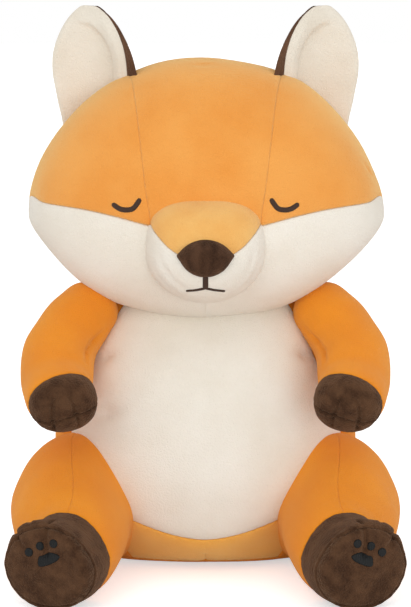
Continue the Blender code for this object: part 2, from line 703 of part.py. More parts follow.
def thread_form(surface, places):
    """A raised line of satin stitch along (x, z) places on the front of a surface."""
    path = [Vector((x, 0, z)) for x, z in places]
    hits = []
    for step in range(THREAD_STEPS + 1):
        point, _ = path_point(path, step / THREAD_STEPS)
        hits.append(surface.hit(Vector((point.x, -BODY_HEIGHT, point.z)), Vector((0, 1, 0))))
    rings = []
    for step, (point, normal) in enumerate(hits):
        along = (hits[min(step + 1, THREAD_STEPS)][0] - hits[max(step - 1, 0)][0]).normalized()
        side = along.cross(normal).normalized()
        middle = point + normal * (2 * CLEARANCE + THREAD_PROUD / 2)
        narrow = THREAD_END_SHARE if step in (0, THREAD_STEPS) else 1.0
        rings.append([middle + side * (THREAD_WIDTH / 2 * narrow * math.cos(2 * math.pi * column / THREAD_COLUMNS))
                      + normal * (THREAD_PROUD / 2 * math.sin(2 * math.pi * column / THREAD_COLUMNS))
                      for column in range(THREAD_COLUMNS)])
    ends = [sum(ring, Vector((0, 0, 0))) / len(ring) for ring in (rings[0], rings[-1])]
    first = (ends[0] - sum(rings[1], Vector((0, 0, 0))) / THREAD_COLUMNS).normalized() * (THREAD_WIDTH / 4)
    last = (ends[1] - sum(rings[-2], Vector((0, 0, 0))) / THREAD_COLUMNS).normalized() * (THREAD_WIDTH / 4)
    return facing_out(Form(ends[0] + first, rings, ends[1] + last))


def pad_form(surface, centre, heading, side, up, half_width, half_height, roll_deg):
    """A low oval patch on the sole."""
    point, normal = surface.hit(centre + heading * THIGH_HALF_WIDTH, -heading)
    roll = math.radians(roll_deg)
    across = (side * math.cos(roll) + up * math.sin(roll))
    across = (across - normal * across.dot(normal)).normalized()
    rise = normal.cross(across).normalized()
    rings = []
    for share, lift in PAD_RING_SHARES:
        rings.append([point + normal * (CLEARANCE + PAD_PROUD * lift)
                      + across * (half_width * share * math.cos(2 * math.pi * column / PAD_COLUMNS))
                      + rise * (half_height * share * math.sin(2 * math.pi * column / PAD_COLUMNS))
                      for column in range(PAD_COLUMNS)])
    return facing_out(Form(point + normal * CLEARANCE, rings, point + normal * (CLEARANCE + PAD_PROUD)))


def rows_and_columns(form, rows, columns):
    return [(row, column % form.columns) for row in rows for column in columns]


def add_panel(name, form, cells, body, finish, cutters=(), solver="EXACT"):
    return add_object(name, form.panel(cells, FABRIC), body, finish, cutters, solver)


def add_core(name, form, body, cutters=()):
    return add_object(name, form.grown(-(FABRIC + CLEARANCE)).solid(), body, "filling", cutters)


def build_head(head, head_surface, muzzle):
    side = HEAD_SIDE_ROWS
    top_end, back_end = HEAD_TOP_COLUMNS, HEAD_TOP_COLUMNS + HEAD_BACK_COLUMNS
    rows = head.rows
    rights, lefts = range(0, side), range(rows - side, rows)
    middle = range(side, rows - side)
    tops, lows = range(0, top_end), range(back_end, head.columns)
    add_core("head_stuffing", head, "head")
    add_panel("head_crown_panel", head, rows_and_columns(head, middle, tops), "head", "orange")
    add_panel("head_side_panel_left", head, rows_and_columns(head, lefts, tops), "head", "orange")
    add_panel("head_side_panel_right", head, rows_and_columns(head, rights, tops), "head", "orange")
    add_panel("cheek_panel_left", head, rows_and_columns(head, range(rows // 2, rows), lows), "head", "cream")
    add_panel("cheek_panel_right", head, rows_and_columns(head, range(0, rows // 2), lows), "head", "cream")
    add_panel("head_back_panel", head, rows_and_columns(head, range(rows), range(top_end, back_end)), "head", "orange")
    head_cut = add_cutter("cut_muzzle_by_head", head.grown(CLEARANCE).solid())
    add_core("muzzle_stuffing", muzzle, "head", [head_cut])
    muzzle_tops = range(0, MUZZLE_TOP_COLUMNS)
    muzzle_lows = range(MUZZLE_TOP_COLUMNS, muzzle.columns)
    all_rows = range(0, muzzle.rows - 2)
    top_cells, low_cells = rows_and_columns(muzzle, all_rows, muzzle_tops), rows_and_columns(muzzle, all_rows, muzzle_lows)
    add_panel("muzzle_top_panel", muzzle, top_cells, "head", "orange", [head_cut])
    add_panel("muzzle_chin_panel", muzzle, low_cells, "head", "cream", [head_cut])
    muzzle_cut = add_cutter("cut_nose_by_muzzle", muzzle.grown(CLEARANCE).solid())
    add_object("nose", nose_form().solid(), "head", "brown", [muzzle_cut])
    for side_name, sign in (("left", -1), ("right", 1)):
        inner_z = EYE_LOW[1] + (EYE_INNER[1] - EYE_LOW[1]) * EYE_INNER_LIFT_SHARE
        outer_z = EYE_LOW[1] + (EYE_OUTER[1] - EYE_LOW[1]) * EYE_OUTER_LIFT_SHARE
        places = [EYE_INNER, ((EYE_INNER[0] + EYE_LOW[0]) / 2, inner_z), EYE_LOW,
                  ((EYE_OUTER[0] + EYE_LOW[0]) / 2, outer_z), EYE_OUTER]
        places = [(x * sign, z) for x, z in places]
        add_object("eye_" + side_name, thread_form(head_surface, places).solid(), "head", "thread")
    surface = Surface(muzzle)
    middle = MOUTH_Z - MOUTH_SAG * MOUTH_MIDDLE_SHARE
    smile = [(-MOUTH_HALF_WIDTH, MOUTH_Z - MOUTH_SAG), (-MOUTH_HALF_WIDTH / 2, middle), (0.0, MOUTH_Z),
             (MOUTH_HALF_WIDTH / 2, middle), (MOUTH_HALF_WIDTH, MOUTH_Z - MOUTH_SAG)]
    add_object("mouth_smile", thread_form(surface, smile).solid(), "head", "thread")
    low = MOUTH_Z + THREAD_WIDTH / 2 + THREAD_WIDTH / 4 + CLEARANCE
    stem = [(0.0, low), (0.0, (low + low + MOUTH_STEM - THREAD_WIDTH) / 2), (0.0, low + MOUTH_STEM - THREAD_WIDTH)]
    add_object("mouth_stem", thread_form(surface, stem).solid(), "head", "thread")


def build_ears(head):
    for side_name, sign in (("left", -1), ("right", 1)):
        pivot = mirror_point(EAR_PIVOT, sign)
        folds = [turn_about(pivot, ear_axis(sign), angle) for angle in steps_of(EAR_FOLD_DEG)]
        cutter = add_cutter("cut_ear_" + side_name, head.swept(folds, SWEEP_PASSES).solid())
        for part, lining, finish in (("ear_lining_", True, "cream"), ("ear_back_", False, "brown")):
            form = ear_form(lining)
            if sign < 0:
                form = form.mirrored()
            add_object(part + side_name, form.solid(), "ear_" + side_name, finish, [cutter], "MANIFOLD")


def ear_axis(sign):
    turn, slope = math.radians(EAR_TURN_DEG), math.radians(EAR_SEAM_SLOPE_DEG)
    along = Vector((math.cos(turn) * math.cos(slope), math.sin(turn) * math.cos(slope), -math.sin(slope)))
    return Vector((along.x, along.y * sign, along.z * sign))


def nod(angle):
    return turn_about(NECK_PIVOT, (-1, 0, 0), angle)


def head_nods():
    return [nod(angle) for angle in steps_of(HEAD_NOD_DEG)]


def lift_leg(sign, angle):
    return turn_about(mirror_point(LEG_PIVOT, sign), (-1, 0, 0), angle)


def build_body(body, head):
    nods = [add_cutter("cut_body_by_head", head.swept(head_nods(), SWEEP_PASSES).solid())]
    seams = []
    for sign in (-1, 1):
        normal = mirror_point(ARM_SEAM_NORMAL_SHARES, sign).normalized()
        seams.append(add_slab(f"cut_body_at_arm_{sign}", mirror_point(ARM_SEAM, sign), normal, ARM_SEAM_RADIUS * 2))
    cutters = nods + seams
    belly = range(0, BELLY_COLUMNS)
    right = range(BELLY_COLUMNS, BELLY_COLUMNS + SIDE_COLUMNS)
    left = range(BELLY_COLUMNS + SIDE_COLUMNS, BELLY_COLUMNS + 2 * SIDE_COLUMNS)
    add_core("body_stuffing", body, "torso", cutters)
    upper = range(BELLY_LOW_RING, body.rows - 1)
    add_panel("belly_panel", body, rows_and_columns(body, upper, belly), "torso", "cream", cutters, "MANIFOLD")
    add_panel("front_strip", body, rows_and_columns(body, range(2, BELLY_LOW_RING), belly), "torso", "orange")
    sides = range(2, body.rows - 1)
    add_panel("back_panel_right", body, rows_and_columns(body, sides, right), "torso", "orange", cutters)
    add_panel("back_panel_left", body, rows_and_columns(body, sides, left), "torso", "orange", cutters)
    add_panel("base_panel", body, rows_and_columns(body, (0, 1), range(body.columns)), "torso", "orange")


def build_arms(arm, head):
    for side_name, sign in (("left", -1), ("right", 1)):
        form = arm if sign > 0 else arm.mirrored()
        body = "arm_" + side_name
        normal = mirror_point(ARM_SEAM_NORMAL_SHARES, sign).normalized()
        seam = mirror_point(ARM_SEAM, sign) + normal * CLEARANCE
        cutters = [add_slab(f"cut_{body}_root", seam, -normal, ARM_SEAM_RADIUS * 3)]
        cutters.append(add_cutter(f"cut_{body}_by_head", head.swept(head_nods(), SWEEP_PASSES).solid()))
        columns = form.columns
        add_core("arm_stuffing_" + side_name, form, body, cutters)
        sleeve = range(0, ARM_CUFF_RING)
        sleeve_cells = rows_and_columns(form, sleeve, range(columns))
        add_panel("arm_sleeve_" + side_name, form, sleeve_cells, body, "orange", cutters)
        paw = range(ARM_CUFF_RING, form.rows)
        add_panel("paw_top_" + side_name, form, rows_and_columns(form, paw, upper_columns(form)), body, "brown")
        add_panel("paw_palm_" + side_name, form, rows_and_columns(form, paw, lower_columns(form)), body, "brown")


def upper_columns(form):
    ring = form.rings[len(form.rings) // 2]
    middle = sum((point.z for point in ring), 0.0) / len(ring)
    return [column for column in range(form.columns) if ring[column].z + ring[(column + 1) % len(ring)].z > 2 * middle]


def lower_columns(form):
    chosen = set(upper_columns(form))
    return [column for column in range(form.columns) if column not in chosen]


def outer_columns(form, sign):
    ring = form.rings[len(form.rings) // 2]
    middle = sum((point.x for point in ring), 0.0) / len(ring)
    return [column for column in range(form.columns)
            if (ring[column].x + ring[(column + 1) % len(ring)].x - 2 * middle) * sign > 0]


def build_legs(leg, body_shape):
    floor = add_slab("cut_floor", (0, 0, 0), (0, 0, -1), 3 * BODY_HALF_WIDTH)
    for side_name, sign in (("left", -1), ("right", 1)):
        form = leg if sign > 0 else leg.mirrored()
        body = "leg_" + side_name
        lifts = [lift_leg(sign, -angle) for angle in steps_of(LEG_LIFT_DEG)]
        cutters = [floor, add_cutter("cut_" + body, body_shape.swept(lifts, SWEEP_PASSES).solid())]
        outer = outer_columns(form, sign)
        inner = [column for column in range(form.columns) if column not in outer]
        thigh = range(0, LEG_CUFF_RING)
        add_core("leg_stuffing_" + side_name, form, body, cutters)
        add_panel("thigh_inner_" + side_name, form, rows_and_columns(form, thigh, inner), body, "orange", cutters)
        add_panel("thigh_outer_" + side_name, form, rows_and_columns(form, thigh, outer), body, "orange", cutters)
        foot = rows_and_columns(form, range(LEG_CUFF_RING, SOLE_RING), range(form.columns))
        add_panel("foot_upper_" + side_name, form, foot, body, "brown", [floor])
        sole = rows_and_columns(form, range(SOLE_RING, form.rows), range(form.columns))
        add_panel("foot_sole_" + side_name, form, sole, body, "brown")
        add_pads(side_name, sign, form, body)


def add_pads(side_name, sign, form, body):
    surface = Surface(form)
    heading = Vector(((SOLE_X - ANKLE_X) * sign, SOLE_Y - ANKLE_Y, 0)).normalized()
    side = heading.cross(Vector((0, 0, 1))).normalized() * -1
    up = Vector((0, 0, 1))
    centre = Vector(((SOLE_X - MAIN_PAD_SHIFT) * sign, SOLE_Y, THIGH_HALF_HEIGHT * FOOT_SHARE)) + up * MAIN_PAD_RISE
    roll = math.radians(PAD_ROLL_DEG) * sign
    print_up = (up * math.cos(roll) + side * math.sin(roll)).normalized()
    print_side = (side * math.cos(roll) - up * math.sin(roll)).normalized()
    pad = pad_form(surface, centre, heading, side, up, MAIN_PAD_HALF_WIDTH, MAIN_PAD_HALF_HEIGHT,
                   -PAD_ROLL_DEG * sign * PAD_TILT_SHARE)
    add_object("main_pad_" + side_name, pad.solid(), body, "thread")
    for toe, spread in (("inner", -sign), ("middle", 0), ("outer", sign)):
        turn = math.radians(TOE_SPREAD_DEG) * spread
        place = centre + (print_up * math.cos(turn) + print_side * math.sin(turn)) * TOE_DISTANCE
        pad = pad_form(surface, place, heading, side, up, TOE_PAD_RADIUS, TOE_PAD_RADIUS, 0.0)
        add_object(f"toe_pad_{toe}_{side_name}", pad.solid(), body, "thread")


def build_tail(tail, body_shape):
    swings = [turn_about(TAIL_PIVOT, (0, 0, 1), angle) for angle in steps_of(TAIL_SWING_DEG)]
    cutters = [add_slab("cut_tail_floor", (0, 0, 0), (0, 0, -1), 3 * BODY_HALF_WIDTH),
               add_cutter("cut_tail", body_shape.swept(swings, SWEEP_PASSES).solid())]
    add_core("tail_stuffing", tail, "tail", cutters)
    sleeve = rows_and_columns(tail, range(0, TAIL_TIP_RING), range(tail.columns))
    add_panel("tail_sleeve", tail, sleeve, "tail", "orange", cutters)
    tip = rows_and_columns(tail, range(TAIL_TIP_RING, tail.rows), range(tail.columns))
    add_panel("tail_tip", tail, tip, "tail", "cream")


def main():
    clear_scene()
    for name, colour, roughness in (("orange", ORANGE, 0.85), ("cream", CREAM, 0.85), ("brown", BROWN, 0.9),
                                    ("thread", THREAD, 0.6), ("filling", FILLING, 0.9)):
        MATERIALS[name] = material(name, colour, roughness)
    add_pivot("torso", (0, 0, 0))
    add_pivot("head", NECK_PIVOT)
    add_pivot("tail", TAIL_PIVOT)
    for side_name, sign in (("left", -1), ("right", 1)):
        add_pivot("arm_" + side_name, mirror_point(ARM_SEAM, sign))
        add_pivot("leg_" + side_name, mirror_point(LEG_PIVOT, sign))
        add_pivot("ear_" + side_name, mirror_point(EAR_PIVOT, sign))
    bpy.context.view_layer.update()
    head, body = head_form(), body_form()
    build_head(head, Surface(head), muzzle_form())
    build_ears(head)
    build_body(body, head)
    build_arms(arm_form(), head)
    build_legs(leg_form(), body)
    build_tail(tail_form(), body)


main()
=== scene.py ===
"""The looks of the seated plush fox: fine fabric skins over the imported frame, in metres, +Z up, facing -Y."""
from math import asin, atan2, copysign, cos, degrees, exp, pi, radians, sin, sqrt

import bmesh
import bpy
import numpy as np
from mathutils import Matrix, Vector, noise
from mathutils.bvhtree import BVHTree
from mathutils.kdtree import KDTree


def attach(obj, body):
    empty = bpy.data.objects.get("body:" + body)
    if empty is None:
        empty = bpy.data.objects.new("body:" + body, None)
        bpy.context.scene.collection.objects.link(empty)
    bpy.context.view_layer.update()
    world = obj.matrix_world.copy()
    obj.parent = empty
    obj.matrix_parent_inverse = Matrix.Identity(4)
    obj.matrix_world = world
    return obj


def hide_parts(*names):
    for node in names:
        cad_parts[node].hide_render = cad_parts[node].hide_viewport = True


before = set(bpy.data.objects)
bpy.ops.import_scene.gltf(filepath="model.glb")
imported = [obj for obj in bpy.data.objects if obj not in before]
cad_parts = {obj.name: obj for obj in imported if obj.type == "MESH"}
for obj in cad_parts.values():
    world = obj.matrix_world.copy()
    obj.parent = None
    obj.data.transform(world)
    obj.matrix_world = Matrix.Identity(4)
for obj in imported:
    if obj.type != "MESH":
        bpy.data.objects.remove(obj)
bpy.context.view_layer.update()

# Camera, as the photograph was taken
LENS_MM = 159.22
SENSOR_MM = 36.0
CAMERA_DISTANCE = 2.184
CAMERA_ELEVATION_DEG = 8.0
TARGET_Z = 0.2085

# Studio: each lamp's place, size and watts
KEY_LIGHT = ((-0.7, -2.0, 1.3), 1.4, 8.0)
FILL_LIGHT = ((0.7, -2.1, 0.12), 1.2, 14.0)
LIGHT_TARGET_Z = 0.142
WORLD_STRENGTH = 0.8
FLOOR_GLOW = 0.55
FLOOR_REACH = 9.6
WHITE = (1, 1, 1, 1)
FLOOR_SHADER = {"Base Color": (0.9, 0.9, 0.9, 1), "Roughness": 0.9, "Emission Color": WHITE}

# Fabric and seams
MM = 0.001
WELD = 1e-6
LEAST_GAP = 1e-9
LEAST_AREA = 1e-12
FABRIC = 0.0018
SEAM_WIDTH = 0.0009
SEAM_DIP_WIDTH = 0.0065
PUCKER_LENGTH = 0.0085
PUCKER_REACH = 0.009
PUCKER_DRIFT = 3.0
LIP = 0.0007
LIP_PLACE = 0.0019
LIP_WIDTH = 0.0009
# Each seam's groove, the wider dip round it and the height of its puckers
PLAIN_SEAM = (0.0012, 0.0006, 0.00016)
FAINT_SEAM = (0.0004, 0.0005, 0.0001)
STRIP_SEAM = (0.0012, 0.0005, 0)
EAR_SEAM = (0.0004, 0.0005, 0)
CHIN_SEAM = (0.00012, 0, 0)

# Uneven stuffing: height, length and seed of the swells
HEAD_SWELL = (0.0016, 0.055, 3.0)
BODY_SWELL = (0.0018, 0.06, 11.0)
ARM_SWELL = (0.0012, 0.035, 5.0)
LEG_SWELL = (0.0014, 0.045, 7.0)
TAIL_SWELL = (0.0012, 0.04, 9.0)

# Finishes
SLOTS = {**dict.fromkeys(("orange", "strip_orange", "head_orange", "muzzle"), "orange_velboa"),
         **dict.fromkeys(("cream", "lining"), "cream_velboa"), "thread": "thread", "pad": "thread",
         **dict.fromkeys(("brown", "ear_brown", "nose"), "brown_plush")}
# Plush: two tones, length of the patches, sheen and its tint, then where they aren't the usual ones
# strength of the patches, length and height of the grain, and streak
PLUSHES = {
    "orange": ((0.82, 0.255, 0.018), (0.88, 0.3, 0.02), 0.045, 0.3, (1, 0.78, 0.42)),
    # head_orange: a paler copy of the orange velboa, painted sheen: its paler tones paint the crown's pale
    # sheen and top light, on top of the shader's own sheen
    "head_orange": ((0.82, 0.3, 0.048), (0.87, 0.37, 0.08), 0.06, 1, (1, 0.82, 0.42)),
    # strip_orange: a lighter, yellower copy of the orange velboa, painted light: its tones stand in for light
    # bounced up from the floor onto the shaded front strip
    "strip_orange": ((0.9, 0.42, 0.07), (0.94, 0.48, 0.095), 0.045, 0.8, (1, 0.84, 0.48)),
    "muzzle": ((0.85, 0.43, 0.115), (0.9, 0.52, 0.165), 0.03, 0.4, (1, 0.86, 0.62)),
    "cream": ((0.825, 0.76, 0.655), (0.88, 0.83, 0.74), 0.06, 0.2, (1, 0.96, 0.9), 0.25),
    # lining: a darker copy of the cream velboa, painted shade: its tones stand in for the shade inside the
    # ear's cupped dish
    "lining": ((0.77, 0.69, 0.57), (0.83, 0.765, 0.655), 0.04, 0.2, (1, 0.96, 0.9), 0.25),
    "brown": ((0.036, 0.0145, 0.0065), (0.098, 0.046, 0.022), 0.01, 0.22, (0.8, 0.5, 0.32),
              0.45, 0.0014, 0.0013),
    "ear_brown": ((0.07, 0.03, 0.015), (0.135, 0.066, 0.036), 0.018, 0.15, (0.85, 0.6, 0.42),
                  0.4, 0.0013, 0.001),
    "nose": ((0.024, 0.0095, 0.0045), (0.085, 0.04, 0.021), 0.009, 0.12, (0.85, 0.55, 0.36),
             0.4, 0.0013, 0.0012, 0.45)}
# Stitches: colour and sheen
STITCHES = {"thread": ((0.045, 0.022, 0.013), 0.1), "pad": ((0.0035, 0.0042, 0.0042), 0)}
MIX_FIRST, MIX_SECOND, MIX_RESULT = 6, 7, 2
# Clouds of noise: detail, and the values where they start and end
PATCH_CLOUD = (3.0, 0.35, 0.65)
FIBRE_CLOUD = (2.0, 0.3, 0.7)
PLUSH_BUMP = 0.6
PLUSH_SHADER = {"Roughness": 0.9, "Specular IOR Level": 0.12, "Sheen Roughness": 0.5}
STITCH_BANDS = {"Scale": 1 / (0.0009 * 2 * pi), "Distortion": 0.6}
STITCH_BUMP = {"Distance": 0.0003, "Strength": 0.8}
STITCH_SHADER = {"Roughness": 0.5, "Specular IOR Level": 0.2}

# Head
HEAD_HALF_WIDTH = 0.1435
HEAD_MIDDLE_Z = 0.284
HEAD_RISE = 0.125
HEAD_DROP = 0.084
HEAD_MIDDLE_Y = -0.008
HEAD_FRONT = 0.086
HEAD_BACK = 0.084
GUSSET_HALF_TOP = 0.062
GUSSET_HALF_BOTTOM = 0.043
CHEEK_SEAM_RISE = 0.012
HEAD_ROUND = 2.15
HEAD_LOW_ROUND = 2.5
HEAD_DEPTH_ROUND = 2.3
TOP_PINCH_SHARE = 0.2
TOP_PINCH_POWER = 5
LOW_PINCH_SHARE = 0.45
LOW_PINCH_POWER = 4
GUSSET_CURVE = 0.8
CHEEK_SEAM_LIMIT = 0.9
HEAD_SIDE_ROWS = 6
HEAD_HALF_ROWS = 4
HEAD_TOP_COLUMNS = 7
HEAD_BACK_COLUMNS = 10
HEAD_LOW_COLUMNS = 7
# Folds and creases hold (x, y, z, strength) or (outward, up, behind, strength), in millimetres,
# and their cuts are a depth and a width
HEAD_CREASES = (((118.5, -35, 321.5, 0.3), (121.5, -33, 316.5, 1), (124.5, -31, 310.5, 0.3)),
                ((-12, -35, 405.5, 0.2), (-1.5, -36, 406, 0.8), (9, -35, 405.5, 0.2)))
HEAD_CREASE_CUT = (0.0015, 0.0022)

# Muzzle and nose
MUZZLE_HALF_WIDTH = 0.0468
MUZZLE_HALF_HEIGHT = 0.0405
MUZZLE_Z = 0.262
MUZZLE_MIDDLE_Y = -0.084
MUZZLE_LENGTH = 0.044
MUZZLE_FRONT = Vector((0, MUZZLE_MIDDLE_Y - MUZZLE_LENGTH, MUZZLE_Z))
MUZZLE_ROOT = 0.02
MUZZLE_ROWS = 10
MUZZLE_TOP_COLUMNS = 8
MUZZLE_LOW_COLUMNS = 10
MUZZLE_SEAM_DEG = 24.5
MUZZLE_ROUND = 3.0
MUZZLE_LOW_ROUND = 2.0
MUZZLE_FULLNESS = 0.92
MUZZLE_FOLD_CUT = (0.0011, 0.0028)
MUZZLE_FOLDS = (
    ((-31, 3, 20, 0.2), (-30, -8, 16, 1), (-23.5, -18.5, 14, 1), (-14, -25, 14, 0.6), (-5, -28.5, 15, 0.1)),
    ((33, 6, 20, 0.2), (34, -4, 18, 0.9), (30, -14, 16, 0.5), (24, -21, 16, 0.1)),
    ((-41, -6, 26, 0.2), (-35, -20, 24, 0.7), (-24, -30, 24, 0.5), (-10, -35, 24, 0.1)),
    ((42, -4, 26, 0.1), (36.5, -19, 24, 0.6), (26, -29, 24, 0.4), (11, -35, 24, 0.1)))
NOSE_HALF_WIDTH = 0.022
NOSE_HALF_DEPTH = 0.0125
NOSE_Z = 0.2605
NOSE_Y = -0.127
NOSE_ROWS = 6
NOSE_COLUMNS = 14
NOSE_RISE = 0.012
NOSE_FALL = 0.0165
NOSE_TOP_POWER = 2.4
NOSE_LOW_POWER = 2.7
NOSE_LIFT = 0.0028

# Embroidery
STEM_THREAD_WIDTH = 0.0044
THREAD_PROUD = 0.001
EYE = ((0.0508, 0.3027), (0.05565, 0.29598), (0.0605, 0.2943), (0.06635, 0.294888), (0.0722, 0.2985))
MOUTH_HALF_WIDTH = 0.0146
MOUTH_Z = 0.2375
MOUTH_SAG = 0.0032
MOUTH_STEM = 0.009
THREAD_END_SHARE = 0.72
THREAD_END_LENGTH = 0.1
THREAD_TIP_SHARE = 0.2
EYE_THREAD_WIDTH = 0.0041
MOUTH_THREAD_WIDTH = 0.0024
THREAD_COLUMNS = 12
THREAD_STEPS = 40

# Ears
EAR_LENGTH = 0.108
EAR_HALF_WIDTH = 0.036
EAR_THICKNESS = 0.012
EAR_CUP = 0.014
EAR_BASE = (0.0765, 0.002, 0.344)
EAR_LEAN_DEG = 9.0
EAR_TURN_DEG = 24.0
EAR_LINING_COLUMNS = 8
EAR_BACK_COLUMNS = 10
EAR_LINING_FROM_DEG = -20.0
EAR_LINING_TO_DEG = 121.0
EAR_LINING_TIP_DEG = 161.0
EAR_LINING_CURVE = 1.2
EAR_TIP_FULLNESS = 1.6
EAR_FABRIC = 0.0007
EAR_TIP_SHARE = 0.6
EAR_INNER_SHARE = 0.15
RIM_WIDTH = 0.0135
RIM_SLOPE = 0.005
RIM_RISE = 0.0024
DISH_DEPTH = 0.0052
DISH_EDGE = 0.03
TIP_SLIDE = 0.0085
TIP_SLIDE_REACH = 0.026

# Body
BODY_HEIGHT = 0.24
BODY_HALF_WIDTH = 0.1225
BODY_FRONT = 0.0975
BODY_BACK = 0.09
BODY_ROUND = 2.2
BELLY_SEAM_RISE = 0.052
BELLY_SEAM_CURVE = 1.6
BELLY_SEAM_SPREAD = 1.6
BASE_RING = 2
BELLY_LOW_RING = 4
BELLY_COLUMNS = 10
BELLY_FOLDS = (((-90, -70, 130.5, 0.3), (-80, -76, 132, 1), (-66.8, -84, 133.5, 0.2)),
               ((73.5, -58, 179, 0.2), (82, -53, 177.5, 1), (92, -45, 176, 0.6)),
               ((-90, -48, 174, 0.6), (-82, -54, 175.5, 1), (-73.5, -60, 177.5, 0.2)))
BELLY_FOLD_CUT = (0.0038, 0.0055)
SIDE_COLUMNS = 7

# Arms
ARM_RADIUS = 0.029
SHOULDER = (0.085, -0.016, 0.216)
ELBOW = (0.113, -0.054, 0.184)
WRIST = (0.1165, -0.093, 0.159)
PAW = (0.106, -0.143, 0.146)
ARM_COLUMNS = 14
ARM_CUFF_RING = 9
PALM_DROP = 0.0085
PALM_SLANT = 0.36
PALM_DROP_LIMIT = 0.0145
PALM_SLIDE_FROM = 0.03
PALM_SLIDE_TO = 0.012
CUFF_OUT_SLANT = 0.009
CUFF_TOP_SLANT = 0.0105
CUFF_AHEAD = 0.0025
CUFF_PLACE = 0.031
CUFF_REACH = 0.016
PAW_OFF_SIDE = 0.0023
PAW_OFF_RISE = 0.0062
FINGER_CUT = (0.003, 0.0016)
FINGERS = (
    ((5.3, 4.5, -3, 0.6), (8.8, -0.2, -3, 0.9), (9.8, -5.5, -3, 1), (9.4, -14, -2, 1), (7.6, -21, 2, 1),
     (6.5, -26, 10, 1)),
    ((-4, 4.7, -3, 0.6), (-7.2, -0.2, -3, 0.9), (-8.2, -5.5, -3, 1), (-10.8, -11, -2, 1), (-12.5, -18, 2, 1),
     (-13.2, -23, 10, 1)))
ELBOW_FOLD = ((-38.5, 9.7, 6, 0.3), (-30, 4.1, -11, 0.9), (-23, -0.6, -28, 1), (-22.5, -6.5, -41.5, 0.4))
ELBOW_CUT = (0.0034, 0.0021)

# Legs
HIP = (0.08, -0.02)
THIGH = (0.105, -0.062)
ANKLE = (0.103, -0.138)
SOLE = (0.1215, -0.188)
THIGH_HALF_WIDTH = 0.0505
THIGH_HALF_HEIGHT = 0.0565
BASE_CUT = 0.0005
SOLE_CROWN = 0.003
TOE_CUT = (0.003, 0.0017)
PRINT_CUT = (0.0022, 0.0095)
SOLE_SLIDE = 0.0065
SOLE_SLIDE_REACH = 0.016
TOE_BULGE = 0.0042
TOE_BULGE_REACH = 0.02
TOE_BULGE_DEG = 48.0
TOE_BULGE_SPREAD_DEG = 34.0
TOE_BULGE_POWER = 3
TOE_CREASES = (
    ((-1.6, 9.4, 0, 0.8), (-1.6, 14.8, 0, 0.9), (-0.8, 23.8, 0, 1), (-1.1, 29, 0, 1.2), (-1.1, 33, 8, 1.4),
     (-1.1, 35, 16, 0.9)),
    ((16, 13.8, 0, 0.2), (20.5, 18, 0, 0.8), (24, 21.5, 0, 1.5), (27, 24, 6, 1.5), (28, 25, 14, 0.6)),
    ((13.3, 29.2, 2, 0.6), (15.2, 32.7, 8, 0.8), (16, 34, 14, 0.5)))
FOOT_SHARE = 0.6
LEG_COLUMNS = 16
LEG_CUFF_RING = 8
SOLE_RING = 12
PAD_PROUD = 0.001
TOE_PAD_RADIUS = 0.0034
MAIN_PAD_RISE = 0.0066
MAIN_PAD_SHIFT = 0.004
# The pads' places and outline, in millimetres
TOE_PLACES = {"inner": (-3.8, 12.5), "middle": (7.1, 9.8), "outer": (16.2, 4.4)}
MAIN_PAD_CORNERS = (
    (8.6, 1.6), (4.6, 3.4), (0, 5.7), (-5.2, 4.8), (-9, 2.8), (-7, -0.7), (-2.8, -3.1), (1, -4.7),
    (5.8, -5.9), (8.4, -4.4))
PAD_COLUMNS = 28

# Tail
TAIL_RADIUS = 0.034
TAIL_ROOT = (0.076, 0.048)
TAIL_END = (0.19, 0.056)
TAIL_COLUMNS = 12
TAIL_TIP_RING = 6

# Shares along each form, as the frame's own solids have them
BODY_WIDTH_SHARES = (
    (0, 0.66), (0.025, 0.77), (0.085, 0.89), (0.21, 0.965), (0.36, 1), (0.48, 0.995), (0.62, 0.91),
    (0.75, 0.79), (0.86, 0.66), (0.94, 0.5), (1, 0.3))
BODY_FRONT_SHARES = (
    (0, 0.26), (0.025, 0.52), (0.085, 0.78), (0.21, 0.945), (0.4, 1), (0.55, 0.97), (0.68, 0.88),
    (0.78, 0.68), (0.85, 0.46), (0.92, 0.3), (1, 0.2))
BODY_BACK_SHARES = (
    (0, 0.62), (0.025, 0.72), (0.085, 0.85), (0.21, 0.955), (0.4, 1), (0.55, 0.97), (0.7, 0.88), (0.85, 0.72),
    (1, 0.34))
BODY_RING_SHARES = (0, 0.025, 0.07, 0.13, 0.215, 0.315, 0.42, 0.525, 0.63, 0.73, 0.825, 0.905, 0.965)
CHEEK_SEAM_SHARES = ((0, -0.35), (0.29, -0.2), (0.578, 0.62), (0.969, 1), (1, 1))
MUZZLE_SEAM_SHARES = ((0, 0), (0.15, 0), (0.2, 0.26), (0.3, 0.64), (0.4, 0.87), (0.5, 1), (1, 1))
BELLY_WIDTH_SHARES = (
    (0, 0.6), (0.12, 0.7), (0.3, 0.84), (0.5, 0.9), (0.68, 0.9), (0.82, 0.88), (1, 0.88))
ARM_RING_SHARES = (
    (0.02, 0.6, 0.6), (0.07, 0.78, 0.78), (0.16, 0.88, 0.88), (0.28, 0.93, 0.93), (0.4, 0.97, 0.97),
    (0.52, 0.99, 0.98), (0.63, 0.98, 0.95), (0.72, 0.94, 0.89), (0.79, 0.96, 0.87), (0.855, 0.96, 0.84),
    (0.915, 0.88, 0.76), (0.965, 0.66, 0.57), (0.99, 0.36, 0.33))
LEG_PEAR_SHARE = 0.18
LEG_RING_SHARES = (
    (0.01, 0.5, 0.54), (0.07, 0.78, 0.8), (0.18, 0.95, 0.96), (0.32, 1, 1), (0.46, 0.93, 0.9),
    (0.6, 0.8, 0.745), (0.68, 0.745, 0.665), (0.74, 0.72, 0.625), (0.81, 0.73, 0.6), (0.9, 0.74, 0.6),
    (0.955, 0.73, 0.59), (0.975, 0.68, 0.54), (1, 0.36, 0.29))
